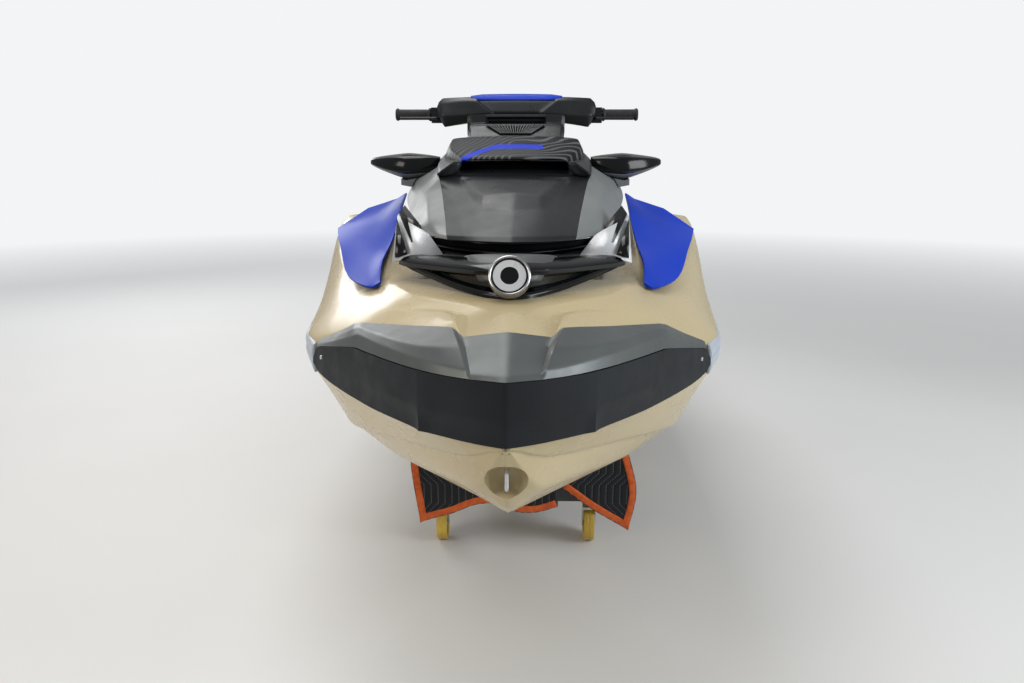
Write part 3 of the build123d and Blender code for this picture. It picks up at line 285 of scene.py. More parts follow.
def drawOut(bm, ring, row, closed=False):  # the next row of vertices, drawn out of the last one
    loop = ring[1:] + ring[:1] if closed else ring[1:]
    edges = [bm.edges.get(pair) for pair in zip(ring, loop)]
    drawn = bmesh.ops.extrude_edge_only(bm, edges=edges)["geom"]
    made = {item for item in drawn if isinstance(item, bmesh.types.BMVert)}
    fresh = [next(e.other_vert(v) for e in v.link_edges if e.other_vert(v) in made) for v in ring]
    for vert, point in zip(fresh, row):
        vert.co = point
    return fresh


def strip(rows, closed=False, along=None, across=None, caps=(), stretches=(), pins=None):
    # one row of vertices drawn out through the rest, with creases down columns or over rows
    bm = bmesh.new()
    crease = bm.edges.layers.float.new("crease_edge")
    sharp = bm.verts.layers.float.new("crease_vert")
    ring = [bm.verts.new(point) for point in rows[0]]
    pairsOf = (lambda r: list(zip(r, r[1:] + r[:1]))) if closed else (lambda r: list(zip(r, r[1:])))
    for pair in pairsOf(ring):
        bm.edges.new(pair)
    grid = [ring]
    for row in rows[1:]:
        grid.append(drawOut(bm, grid[-1], row, closed))
    for column, weight in (along or {}).items():
        for near, far in zip(grid, grid[1:]):
            bm.edges.get((near[column], far[column]))[crease] = weight
    for row, weight in (across or {}).items():
        for pair in pairsOf(grid[row]):
            bm.edges.get(pair)[crease] = weight
    for column, first, last, weight in stretches:  # part of one column
        for near, far in zip(grid[first:last], grid[first + 1:last + 1]):
            bm.edges.get((near[column], far[column]))[crease] = weight
    for row, column in pins if pins is not None else () if closed else ((0, 0), (0, -1), (-1, 0), (-1, -1)):
        grid[row][column][sharp] = 1
    for row in caps:
        pairs = pairsOf(grid[row]) if closed else pairsOf(grid[row]) + [(grid[row][-1], grid[row][0])]
        bmesh.ops.contextual_create(bm, geom=[bm.edges.get(p) or bm.edges.new(p) for p in pairs])
    bmesh.ops.recalc_face_normals(bm, faces=bm.faces)
    return bm


def facing(form):  # both sides of a half form
    bmesh.ops.mirror(form, geom=form.verts[:] + form.edges[:] + form.faces[:], merge_dist=0, axis="X")
    bmesh.ops.recalc_face_normals(form, faces=form.faces)
    return form


def acrossNose(rows):  # stations from the middle outward, made into one run from side to side
    full = spots(rows)
    return [[Vector((-p.x, p.y, p.z)) for p in row] for row in reversed(full[1:])] + full


def revolve(profile, centre, axis, steps, merge=1e-5):  # a profile turned about an axis
    form = bmesh.new()
    ring = [form.verts.new(point) for point in profile]
    edges = [form.edges.new(pair) for pair in zip(ring, ring[1:])]
    bmesh.ops.spin(form, geom=ring + edges, cent=centre, axis=axis, angle=math.tau, steps=steps, use_merge=True)
    bmesh.ops.remove_doubles(form, verts=form.verts, dist=merge)
    bmesh.ops.recalc_face_normals(form, faces=form.faces)
    return form


def piece(name, bm, finish, body="craft_on_dolly", stands=(), levels=0, wall=0.0, bevel=0.0, side=-1):
    mesh = bpy.data.meshes.new(name)
    for face in bm.faces:
        face.smooth = True
    bm.to_mesh(mesh)
    bm.free()
    made = placed(name, mesh)
    mesh.materials.append(finish.material)
    if levels:
        smooth = made.modifiers.new("smooth", "SUBSURF")
        smooth.levels = smooth.render_levels = levels
    if wall:
        shell = made.modifiers.new("wall", "SOLIDIFY")
        shell.thickness, shell.offset = wall, side
        shell.use_even_offset = True
    if bevel:
        soft = made.modifiers.new("round", "BEVEL")
        soft.width, soft.segments, soft.limit_method = bevel, 2, "ANGLE"
        soft.angle_limit = math.radians(40)
        soft.harden_normals = True
    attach(made, body)
    if stands:
        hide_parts(*stands)
    return made


def bake(made):  # the modifiers' result becomes the mesh
    view = bpy.context.evaluated_depsgraph_get()
    view.update()
    result = bpy.data.meshes.new_from_object(made.evaluated_get(view))
    result.name = made.name
    made.modifiers.clear()
    made.data = result
    return made


def carve(made, cutterForm):  # the cutter is only needed for the cut
    bmesh.ops.recalc_face_normals(cutterForm, faces=cutterForm.faces)
    mesh = bpy.data.meshes.new("cutter")
    cutterForm.to_mesh(mesh)
    cutterForm.free()
    cutter = placed("cutter", mesh)
    cut = made.modifiers.new("cut", "BOOLEAN")
    cut.operation, cut.solver, cut.object = "DIFFERENCE", "EXACT", cutter
    bake(made)
    bpy.data.objects.remove(cutter)


def between(table, aft, column):
    for near, far in zip(table, table[1:]):
        if aft <= far[0]:
            part = (aft - near[0]) / (far[0] - near[0])
            return near[column] + part * (far[column] - near[column])
    return table[-1][column]


# the sheer: aft, half beam, lower edge, upper edge
sheer = [
    (0, 4, 434, 562), (40, 85, 434, 560), (100, 165, 433, 558), (200, 250, 432, 555), (350, 350, 431, 549),
    (550, 490, 440, 508), (730, 552, 446, 503), (1100, 600, 444, 501),
    (1500, 627.5, 438, 495), (2400, 624.5, 425, 480), (3000, 611.5, 410, 465), (3250, 599.5, 404, 459),
    (3450, 567.5, 400, 440),
]

# hull: aft, keel up, inner chine, outer chine
hullRows = [
    (12, 424, 6, 427, 9, 429), (30, 402, 18, 409, 32, 424), (60, 350, 34, 366, 56, 404), (90, 304, 54, 334, 78, 392),
    (120, 269, 70, 310, 97, 381), (150, 243, 84, 300, 116, 374), (240, 200, 132, 288, 175, 354),
    (350, 158, 190, 264, 245, 335), (550, 70, 290, 222, 372, 292),
    (730, 26, 352, 190, 450, 252), (1000, 0, 410, 157, 505, 216), (1500, 0, 440, 169, 555, 205),
    (2400, 0, 445, 171, 568, 198), (2880, 0, 442, 170, 562, 196), (3240, 0, 435, 167, 550, 192),
    (3250, 0, 435, 167, 550, 192),
]
rows = []
for aft, keel, innerHalf, innerUp, outerHalf, outerUp in hullRows:
    half, low = between(sheer, aft, 1), between(sheer, aft, 2)
    inset, rise = (22 if aft < 200 else 14, 12) if aft < 540 else (1, -1)  # more under the bumper
    rows.append(bothSides([
        spot(max(3, half - inset), aft, low + rise), spot(outerHalf, aft, outerUp),
        spot(outerHalf - 12, aft, outerUp - 3), spot(innerHalf, aft, innerUp), spot(0, aft, keel),
    ]))
hullForm = strip(rows, True, {0: 1, 8: 1, 1: 0.85, 7: 0.85, 2: 0.6, 6: 0.6, 3: 0.7, 5: 0.7, 4: 0.8}, {0: 1, -1: 1},
                 (0, -1))
hull = bake(piece("hullShell", hullForm, gelcoat, stands=("hull",), levels=3))
# cuts in mm, but for the dish's radii, the lid's height and the wall in m
hullCuts = {"dish": (0, 62, 336), "dishRadii": (0.046, 0.07, 0.052), "tunnelHalf": 124, "tunnelTop": 274,
            "tunnelFront": 2881, "grateHalf": 79, "grateFront": 2334, "bore": 227, "lidAbove": 0.36, "wall": 0.005}
dishForm = bmesh.new()
bmesh.ops.create_uvsphere(dishForm, u_segments=48, v_segments=24, radius=1)
bmesh.ops.scale(dishForm, verts=dishForm.verts, vec=hullCuts["dishRadii"])
bmesh.ops.translate(dishForm, verts=dishForm.verts, vec=spot(*hullCuts["dish"]))
carve(hull, dishForm)
half, top, front = hullCuts["tunnelHalf"], hullCuts["tunnelTop"], hullCuts["tunnelFront"]
carve(hull, strip([[spot(x, aft, up) for x, up in ((-half, -20), (half, -20), (half, top - 40), (half - 40, top),
                                                    (40 - half, top), (-half, top - 40))] for aft in (front, 3500)],
                  True, None, None, (0, 1)))
half = hullCuts["grateHalf"]
carve(hull, strip([[spot(x, aft, up) for x in (-half, half)] + [spot(half, aft, -20), spot(-half, aft, -20)]
                   for aft, up in ((hullCuts["grateFront"], -19), (front + 5, hullCuts["bore"]))], True, None, None,
                   (0, 1)))
hullForm = bmesh.new()
hullForm.from_mesh(hull.data)
lidUp = keelZ + hullCuts["lidAbove"]
lid = [face for face in hullForm.faces if face.normal.z > 0.7 and face.calc_center_median().z > lidUp]
bmesh.ops.delete(hullForm, geom=lid, context="FACES")
for face in hullForm.faces:
    face.smooth = True
hullForm.to_mesh(hull.data)
hullForm.free()
hull.data.set_sharp_from_angle(angle=math.radians(35))
skin = hull.modifiers.new("wall", "SOLIDIFY")
skin.thickness, skin.offset = hullCuts["wall"], -1
print("hull made")

# deck: aft, then half and up of shoulder, crest, inner edge, well's outer and inner foot, rim, bin's foot, middle
deckRows = [
    (26, 30, 552, 26, 553, 22, 554, 18, 555, 14, 555, 10, 556, 5, 556, 556),
    (60, 80, 566, 60, 574, 44, 580, 36, 584, 28, 587, 18, 590, 9, 592, 592),
    (140, 100, 578, 72, 600, 50, 611, 42, 614, 32, 616, 20, 618, 10, 621, 623),
    (170, 106, 600, 96, 616, 84, 610, 62, 615, 44, 619, 28, 622, 14, 625, 627),
    (205, 118, 624, 107, 629, 87, 614, 68, 619, 50, 624, 33, 628, 16, 631, 633),
    (270, 180, 612, 116, 635, 86, 622, 70, 628, 54, 632, 38, 637, 19, 640, 642),
    (335, 251, 606, 118, 640, 84, 634, 74, 637, 62, 640, 46, 643, 23, 646, 648),
    (420, 346, 590, 300, 615, 250, 634, 236, 638, 222, 642, 200, 650, 100, 654, 656),
    (520, 386, 597, 318, 623, 290, 637, 278, 641, 266, 645, 250, 652, 125, 657, 659),
    (620, 424, 602, 330, 632, 322, 640, 317, 644, 312, 649, 305, 655, 150, 661, 662),
    (692, 446, 605, 338, 642, 330, 650, 322, 652, 314, 655, 215, 662, 208, 662, 662),
    (700, 448, 605, 339, 644, 331, 652, 323, 653, 315, 656, 212, 662, 200, 330, 330),
    (850, 490, 610, 455, 646, 345, 680, 338, 676, 331, 670, 212, 662, 200, 330, 330),
    (1100, 560, 622, 528, 688, 350, 750, 342, 720, 335, 690, 212, 662, 200, 330, 330),
    (1168, 572, 626, 538, 702, 352, 761, 344, 725, 336, 694, 212, 662, 200, 330, 330),
    (1176, 574, 627, 540, 704, 353, 762, 345, 726, 336, 695, 215, 662, 208, 662, 662),
    (1300, 598, 636, 566, 738, 360, 790, 350, 748, 335, 700, 240, 662, 200, 662, 662),
    (1420, 606, 642, 570, 755, 420, 775, 370, 748, 318, 718, 250, 680, 200, 662, 662),
    (1436, 607, 641, 571, 753, 505, 760, 420, 738, 300, 705, 240, 676, 200, 660, 660),
    (1446, 608, 641, 572, 752, 520, 758, 512, 436, 204, 436, 192, 668, 150, 658, 658),
    (1514, 612, 639, 578, 744, 522, 748, 513, 370, 203, 370, 190, 640, 118, 640, 640),
    (1520, 612, 639, 578, 743, 522, 747, 514, 345, 203, 345, 190, 640, 115, 500, 500),
    (1600, 612, 632, 581, 733, 522, 738, 514, 306, 203, 306, 190, 640, 115, 500, 500),
    (1630, 612, 629, 582, 729, 522, 736, 514, 303, 203, 303, 190, 640, 115, 500, 500),
    (1638, 612, 628, 582, 728, 522, 735, 514, 302, 203, 302, 190, 640, 118, 640, 640),
    (2000, 612, 592, 588, 668, 522, 678, 514, 301, 203, 301, 190, 640, 118, 640, 640),
    (2400, 607, 566, 582, 628, 522, 636, 514, 301, 203, 301, 190, 640, 118, 640, 640),
    (2780, 602, 540, 577, 588, 522, 592, 514, 301, 203, 301, 190, 640, 118, 640, 640),
    (2800, 602, 539, 576, 586, 522, 591, 514, 303, 203, 303, 190, 640, 118, 640, 640),
    (2925, 598, 529, 573, 569, 530, 573, 526, 425, 198, 425, 190, 636, 118, 636, 636),
    (2952, 597, 522, 571, 556, 532, 559, 528, 438, 300, 438, 190, 590, 118, 590, 590),
    (2964, 596, 519, 570, 551, 532, 553, 529, 440, 300, 440, 190, 441, 118, 440, 440),
    (3080, 592, 500, 565, 520, 534, 522, 530, 440, 300, 440, 190, 440, 118, 440, 440),
    (3300, 578, 484, 554, 494, 534, 496, 530, 440, 300, 440, 190, 440, 118, 440, 440),
    (3438, 562, 471, 547, 478, 536, 480, 532, 440, 300, 440, 190, 440, 118, 440, 440),
    (3446, 560, 470, 545, 477, 536, 478, 532, 440, 300, 440, 190, 440, 118, 440, 440),
]
rows = []
for row in deckRows:
    aft, middle = row[0], row[-1]
    half, low, high = (between(sheer, aft, column) for column in (1, 2, 3))
    inset = 26 if aft < 120 else 18 if aft < 560 else 3  # under the bumper, cap and rails
    points = [(half - inset, low), (half - inset, high)]
    points += list(zip(row[1:-1:2], row[2:-1:2]))
    rows.append(bothSides([spot(x, aft, up) for x, up in points] + [spot(0, aft, middle)]))
last = len(rows[0]) - 1
folds = {0: 1, 1: 0.6, 3: 0.45, 4: 0.45, 5: 0.2, 6: 0.2, 7: 0.3, 8: 0.3}
walls = [(column, 2, 6, 1.0) for column in (3, 4, last - 3, last - 4)]
deckForm = strip(rows, False, {**folds, **{last - c: w for c, w in folds.items()}}, {0: 1, -1: 1}, stretches=walls)
piece("deckShell", deckForm, gelcoat, stands=("deck",), levels=3, wall=0.004)
print("deck made")

# bumper: half, aft, lower edge, upper edge, how far the lower facet is let in
bumper = {"facet": 0.2, "ledge": 0.42, "wall": 0.009}
bumperRows = [
    (0, 0, 434, 562, 4), (44, 18, 434, 561, 4), (85, 40, 434, 560, 4.5), (160, 96, 433, 558, 5),
    (178, 112, 433, 558, 1),
    (190, 126, 433, 557, 6), (250, 200, 432, 555, 5), (300, 272, 431, 552, 1), (350, 350, 431, 549, 0),
    (376, 386, 432, 542, 0),
    (440, 478, 437, 522, 0), (473, 530, 446, 507, 0), (486, 548, 458, 486, 0), (490, 553, 464, 476, 0),
]
rows = []
for half, aft, low, high, let in bumperRows:
    rise, shift = high - low, let * min(1, half / 60)
    rows.append([
        (half - shift, aft + let, low), (half - shift, aft + let, low + 0.1 * rise),
        (half - 0.8 * shift, aft + 0.8 * let, low + bumper["facet"] * rise),
        (half, aft, low + bumper["ledge"] * rise), (half, aft, low + 0.7 * rise), (half, aft, high),
    ])
rows = acrossNose(rows)
middle = len(bumperRows) - 1
folds = {middle: 0.8, middle - 8: 0.7, middle + 8: 0.7, middle - 3: 0.9, middle + 3: 0.9, middle - 4: 1, middle + 4: 1}
ends = [(row, 5) for row in (2, 4, 2 * middle - 4, 2 * middle - 2)] + [(0, 0), (-1, 0)]
bumperForm = strip(rows, False, {0: 1, 2: 0.7, 3: 0.9, 5: 1}, {**folds, 0: 1, -1: 1}, pins=ends)
piece("bumperBand", bumperForm, bumperBlack, stands=("bow_bumper",), levels=3,
      wall=bumper["wall"], bevel=0.0015)

screws = bmesh.new()
for side in (-1, 1):
    outward = Vector((side * 0.844, -0.536, 0))
    turned = Matrix.Translation(spot(side * 458, 507, 488)) @ outward.to_track_quat("Z", "Y").to_matrix().to_4x4()
    bmesh.ops.create_cone(screws, cap_ends=True, segments=24, radius1=0.0065, radius2=0.005, depth=0.006, matrix=turned)
piece("bandScrews", screws, stainless, bevel=0.0008)

# cap over the bumper: rows from the middle outward, each from the band's edge back to the deck
capRows = [
    [(0, 0, 564), (0, 12, 573), (0, 70, 602), (0, 138, 631)],
    [(66, 31, 562), (67, 40, 571), (77, 98, 592), (88, 164, 615)],
    [(72, 34, 562), (76, 44, 577), (94, 106, 611), (114, 200, 627)],
    [(110, 58, 561), (111, 68, 576), (134, 120, 605), (150, 236, 622)],
    [(165, 100, 560), (166, 110, 579), (180, 154, 599), (207, 292, 611)],
    [(250, 200, 557), (250, 210, 579), (258, 248, 594), (280, 356, 602)],
    [(342, 338, 552), (338, 348, 579), (338, 372, 591), (340, 410, 594)],
    [(354, 355, 549), (352, 364, 572), (354, 388, 584), (356, 420, 590)],
    [(414, 440, 531), (411, 450, 541), (411, 470, 547), (412, 496, 553)],
    [(470, 526, 511), (469, 533, 516), (470, 546, 519), (471, 560, 522)],
    [(476, 533, 508), (475, 538, 511), (475, 552, 515), (475, 564, 518)],
]
rows = acrossNose(capRows)
middle = len(capRows) - 1
folds = {middle: 0.5}
for step, weight in ((1, 1), (2, 1), (6, 0.8), (7, 0.8)):
    folds[middle - step] = folds[middle + step] = weight
corners = [(row, 3) for row in (0, 4, middle - 2, middle - 1, middle + 1, middle + 2, 2 * middle - 4, 2 * middle)]
capForm = strip(rows, False, {0: 1, 1: 0.5, 2: 0.8, 3: 1}, {**folds, 0: 1, -1: 1}, pins=corners + [(0, 0), (-1, 0)])
piece("capPlate", capForm, capGrey, stands=("bumper_cap",), levels=3, wall=0.006, bevel=0.001)

# side rails along the sheer
railRows = []
for aft in (556, 562, 620, 692, 730, 850, 1000, 1100, 1168, 1300, 1420, 1500, 1600, 1640, 2000, 2400, 2800, 3000, 3250,
            3400, 3442):
    half, low, high = (between(sheer, aft, column) for column in (1, 2, 3))
    low, high, deep = low - 2, high + 2, 14 if aft > 560 else 6
    railRows.append([
        (half - deep, aft, high), (half - 5, aft, high + 1), (half, aft, high - 8),
        (half + 1, aft, (low + high) / 2 + 4),
        (half - 4, aft, (low + high) / 2), (half + 1, aft, (low + high) / 2 - 4), (half, aft, low + 8),
        (half - 5, aft, low), (half - deep, aft, low),
    ])
railForm = strip(spots(railRows), True, {0: 1, 8: 1, 4: 0.5}, {0: 1, -1: 1}, (0, -1))
piece("railPair", facing(railForm), railGrey, stands=("side_rails",), levels=2)

sternRows = []
for half in (-565, -560, -400, 0, 400, 560, 565):
    low, high = 398, 442
    sternRows.append([(half, 3436, high), (half, 3445, high), (half, 3450, high - 8), (half, 3450, low + 8),
                      (half, 3445, low), (half, 3436, low)])
sternForm = strip(spots(sternRows), True, {0: 1, 5: 1}, {0: 1, -1: 1}, (0, -1))
piece("sternRail", sternForm, railGrey, levels=2)
print("bumper, cap and rails made")

# shoulder panels: aft, then half and up of outer edge, crease, inner crease, inner edge
panelRows = [
    (636, 352, 640, 348, 642, 336, 650, 332, 652), (652, 372, 640, 356, 645, 338, 654, 334, 656),
    (750, 436, 642, 380, 668, 352, 688, 346, 690), (850, 468, 668, 404, 692, 352, 704, 345, 706),
    (950, 492, 700, 424, 712, 352, 722, 345, 724), (1060, 524, 720, 418, 738, 352, 756, 345, 758),
    (1200, 552, 734, 408, 780, 353, 810, 346, 812), (1280, 470, 790, 392, 808, 352, 832, 347, 833),
    (1300, 400, 812, 376, 820, 352, 836, 348, 837),
]
panelForm = strip([[spot(x, row[0], up) for x, up in zip(row[1::2], row[2::2])] for row in panelRows],
                  False, {0: 1, 1: 0.9, 2: 0.7, 3: 1}, {0: 1, 1: 0.6, 6: 0.8, 7: 0.8, -1: 1},
                  pins=((0, 0), (0, 1), (0, -1), (6, 0), (7, 0), (-1, 0), (-1, -1)))
piece("shoulderPanels", facing(panelForm), panelBlue, stands=("shoulder_panels",), levels=2,
      wall=0.006, bevel=0.001)
print("panels made")

# hood: half sections from the flank's edge to the middle; half, aft, up in each
hoodRows = [
    [(222, 692, 758), (203, 684, 763), (157, 592, 764), (114, 552, 766), (83, 530, 767), (44, 510, 768), (0, 498, 768)],
    [(226, 706, 766), (206, 700, 772), (160, 604, 773), (116, 566, 775), (84, 546, 777), (44, 527, 778), (0, 516, 779)],
    [(240, 742, 778), (217, 732, 798), (172, 716, 806), (128, 652, 801), (88, 622, 803), (44, 602, 803), (0, 592, 803)],
    [(272, 860, 790), (232, 850, 838), (190, 852, 848), (141, 748, 829), (90, 711, 830), (76, 704, 831), (0, 676, 829)],
    [(288, 930, 795), (246, 924, 856), (200, 918, 872), (158, 862, 862), (116, 822, 861), (76, 768, 858),
     (0, 762, 866)],
    [(292, 948, 795), (250, 944, 860), (208, 950, 893), (170, 944, 892), (146, 936, 891), (130, 935, 894),
     (0, 938, 898)],
    [(300, 990, 804), (262, 990, 868), (218, 990, 905), (160, 966, 902), (146, 958, 901), (120, 958, 901),
     (0, 958, 901)],
    [(330, 1150, 830), (300, 1150, 885), (222, 1150, 930), (180, 1150, 937), (146, 1150, 946), (70, 1150, 949),
     (0, 1150, 950)],
    [(335, 1290, 849), (310, 1290, 890), (224, 1290, 939), (180, 1290, 946), (146, 1290, 955), (70, 1290, 958),
     (0, 1290, 959)],
    [(335, 1300, 850), (310, 1300, 890), (224, 1300, 940), (180, 1300, 947), (146, 1300, 956), (70, 1300, 959),
     (0, 1300, 960)],
]
coverRows = [row[2:] for row in hoodRows]
rows = [bothSides(row) for row in spots(coverRows)]
last = len(rows[0]) - 1
overRows = {0: 1, 1: 0.9, 2: 0.3, 3: 1, 4: 1, 5: 0.9, 6: 0.9, -1: 1}
ridges = [(4, 0, 4, 0.9)]
for column, first, end, weight in ((1, 1, 3, 1), (2, 3, 5, 1), (3, 3, 5, 1), (1, 3, 5, 0.3)):
    ridges += [(column, first, end, weight), (last - column, first, end, weight)]
coverForm = strip(rows, False, {0: 1, last: 1}, overRows, stretches=ridges)
piece("hoodCover", coverForm, hoodBlack, "hood", ("hood_cover",), 3, 0.006, 0.001)
flankForm = strip(spots(row[:3] for row in hoodRows), False, {0: 1, 1: 0.8, 2: 1}, overRows)
piece("hoodFlanks", facing(flankForm), flankGrey, "hood", ("hood_flanks",), 3, 0.006, 0.001)
print("hood made")

# nose grille: half, aft and height of the wing's edge, and height of the bottom edge
grille = {"wall": 0.006, "blades": (729, 740)}
wing = [(0, 386, 716, 650), (40, 396, 716, 652), (80, 422, 714, 655), (133, 476, 711, 661), (200, 550, 708, 675),
        (262, 612, 706, 690), (284, 646, 708, 700)]
rows = []
for half, aft, up, low in wing:
    lean = half / 284
    rows.append([
        (half + 1, aft - 6 + 22 * lean, low), (half, aft - 4 + 14 * lean, low + 8),
        (half - 2, aft + 3 + 8 * lean, low + 14),
        (half - 5, aft + 20, low + 20), (half - 4, aft + 18, up - 18), (half, aft + 3, up - 12), (half, aft, up),
        (half - 2, aft + 8, up + 7), (half - 14 * lean, aft + 44, up + 16), (half - 20 * lean, aft + 66, up + 14),
        (half - 21 * lean, aft + 74, up + 16), (half - 22 * lean, aft + 78, up + 20),
    ])
rows = acrossNose(rows)
middle = len(wing) - 1
grilleForm = strip(rows, False, {0: 1, 1: 0.5, 2: 0.8, 3: 0.6, 4: 0.6, 5: 0.9, 6: 0.6, 8: 0.7, 9: 0.5, 11: 1},
                   {0: 1, -1: 1, middle: 0.7})
piece("noseGrille", grilleForm, glossBlack, stands=("nose_grille",), levels=3, wall=grille["wall"],
      bevel=0.001)

lip = [(0, 500), (30, 506), (60, 518), (104, 550), (150, 596), (196, 660)]  # the hood lip's line in plan
for level in grille["blades"]:
    rows = acrossNose([
        [(half, aft + 2, level), (half, aft - 3, level + 2), (half, aft + 2, level + 5), (half, aft + 26, level + 9),
         (half, aft + 26, level + 3)]
        for half, aft in lip
    ])
    bladeForm = strip(rows, True, {1: 0.6}, {5: 0.8, 0: 1, -1: 1}, (0, -1))
    piece(f"grilleBlade{level}", bladeForm, glossBlack, levels=2)

# painted shade: a dark sheet behind the hood's lip, where the gap falls into shade
rows = acrossNose([[(half, aft + 18, 759), (half, aft + 34, 738), (half, aft + 30, 712)] for half,
                   aft in lip + [(232, 700)]])
piece("lipPaintedShade", strip(rows), paintedShadeBlack, wall=0.002)

# satin block about the badge, between the hood's lip and the wing
rows = acrossNose([
    [(0, 482, 742), (0, 474, 745), (0, 430, 735), (0, 398, 717), (0, 386, 690)],
    [(52, 488, 741), (50, 480, 744), (46, 436, 733), (40, 406, 715), (34, 394, 690)],
    [(94, 500, 738), (90, 492, 740), (78, 456, 728), (68, 420, 712), (58, 408, 690)],
    [(110, 510, 734), (106, 502, 736), (94, 466, 722), (82, 434, 706), (70, 420, 688)],
])
blockForm = strip(rows, False, {0: 1, 1: 0.7, 3: 0.8, 4: 1}, {0: 1, -1: 1, 1: 0.9, 5: 0.9, 3: 0.4})
noseGrey = satinPlastic("noseGrey", (0.075, 0.08, 0.08), 0.38, 1600, 0.0002, 1.2, 0.2)
piece("badgeBlock", blockForm, noseGrey, levels=2, wall=0.004)

# side vents: two dark windows in a bright frame
ventSilver = satinPlastic("ventSilver", (0.6, 0.62, 0.64), 0.3, 1500, 0.0002, 1.1, 0.25)
vent = {
    "frame": ((290, 830, 822), (305, 797, 801), (298, 636, 699), (250, 645, 713), (166, 600, 722), (206, 668, 762),
              (226, 743, 767)),
    "windows": (((288, 819, 818), (300, 792, 799), (256, 689, 735), (222, 680, 729), (238, 748, 771)),
                ((303, 777, 788), (291, 642, 706), (262, 652, 714))),
}


def plate(corners, lift=0.0, rim=0.002, deep=0.0015):
    flat = bmesh.new()
    face = flat.faces.new([flat.verts.new(spot(*p)) for p in corners])
    flat.normal_update()
    if face.normal.y > 0:
        face.normal_flip()
    bmesh.ops.translate(flat, verts=flat.verts, vec=face.normal * lift)
    bmesh.ops.inset_region(flat, faces=[face], thickness=rim, depth=deep)
    return flat


piece("ventFrames", facing(plate(vent["frame"])), ventSilver, wall=0.004)
for i, corners in enumerate(vent["windows"]):
    piece(f"ventWindow{i}", facing(plate(corners, 0.009, 0.003, -0.0015)), glossBlack, wall=0.009)

# badge: a plain disc in a ring, turned about its axis
badge = {"middle": (0, 378, 706), "tilt": 62}
badgeOutline = [(0, 3), (20, 3), (20.6, 4.2), (37, 4.2), (37.6, 3), (41, 3), (41.6, 7), (44, 8.5), (47, 7), (48, 3),
                (48, -14), (0, -14)]
badgeForm = revolve([(r / 1000, 0, z / 1000) for r, z in badgeOutline], (0, 0, 0), (0, 0, 1), 64)
badgeCentre = spot(*badge["middle"])
tilted = Matrix.Translation(badgeCentre) @ Matrix.Rotation(math.radians(badge["tilt"]), 4, "X")
bmesh.ops.transform(badgeForm, verts=badgeForm.verts, matrix=tilted)
badgeMade = piece("noseBadge", badgeForm, badgeSteel, stands=("nose_badge",), bevel=0.0006)
badgeMade.data.materials.append(glossBlack.material)
badgeMade.data.materials.append(ventSilver.material)
for face in badgeMade.data.polygons:
    away = (face.center - badgeCentre).length
    face.material_index = 0 if away > 0.0412 else 2 if 0.0212 < away < 0.0372 else 1
print("grille, vents and badge made")

# wind deflector over its slot
stripes = Finish("deflectorStripes", (0.006, 0.007, 0.008), 0.4, Specular_IOR_Level=0.08)
x, y, z = stripes.axes()
flow = y * 5 - x.least(0.0) * 7.8 - x.most(0) * 1.5 + stripes.noise(4, 1.0, (1, 1.6, 1)) * 1.2
lines = stripes.spread((flow * 38).wave(), 0.35, 0.8)
stripes.tint(lines, (0.1, 0.108, 0.115))
centreLine = 1.088 + bowY - ((-0.055) - x).most(0) * 1.05
band = (y - centreLine).size().below(0.021) * x.below(0.082) * x.above(-0.152)
stripes.tint(band, (0.012, 0.04, 0.55))
stripes.set("Roughness", stripes.spread(lines + band, 0, 1, 0.3, 0.5))
rows = acrossNose([
    [(0, 984, 950), (0, 990, 956), (0, 1040, 970), (0, 1120, 992), (0, 1196, 1013), (0, 1206, 1008)],
    [(84, 986, 949), (84, 992, 955), (84, 1042, 969), (84, 1122, 991), (84, 1196, 1012), (84, 1206, 1007)],
    [(138, 990, 947), (138, 996, 953), (150, 1046, 968), (172, 1124, 989), (172, 1196, 1009), (172, 1206, 1003)],
    [(148, 996, 945), (150, 1003, 950), (172, 1056, 962), (200, 1126, 980), (190, 1198, 1004), (189, 1206, 998)],
    [(154, 1006, 936), (158, 1014, 938), (186, 1076, 948), (210, 1128, 958), (200, 1198, 985), (197, 1206, 980)],
    [(156, 1010, 926), (160, 1018, 926), (188, 1080, 930), (212, 1130, 934), (201, 1198, 950), (198, 1206, 950)],
])
visorForm = strip(rows, False, {0: 1, 1: 0.7, 4: 0.6, 5: 1}, {0: 1, -1: 1, 2: 0.8, 8: 0.8, 1: 0.5, 9: 0.5})
piece("deflectorVisor", visorForm, stripes, "hood", ("deflector",), 2, 0.005, 0.001)

# rims beside the slot, and the slot's floor in painted shade
rows = [
    [(160, 962, 903), (150, 966, 941), (168, 960, 942), (216, 952, 907), (212, 966, 899)],
    [(162, 1010, 900), (154, 1012, 942), (176, 1010, 944), (221, 1000, 916), (214, 1010, 900)],
    [(190, 1090, 915), (180, 1096, 940), (206, 1096, 946), (227, 1100, 932), (220, 1100, 912)],
    [(190, 1196, 930), (178, 1200, 956), (206, 1202, 966), (229, 1202, 944), (222, 1202, 924)],
]
rimForm = strip(spots(rows), True, {1: 0.8, 2: 0.8, 3: 0.6}, {0: 1, -1: 1}, (0, -1))
piece("slotRims", facing(rimForm), hoodBlack, "hood", levels=2)
# the slot's floor: a sheet of painted shade
rows = acrossNose([
    [(half, 958, 899), (half, 962, 903), (half, 1030, 905), (half, 1036, 942)] for half in (0, 80, 156)
])
piece("slotFloor", strip(rows), paintedShadeBlack, "hood", wall=0.002)
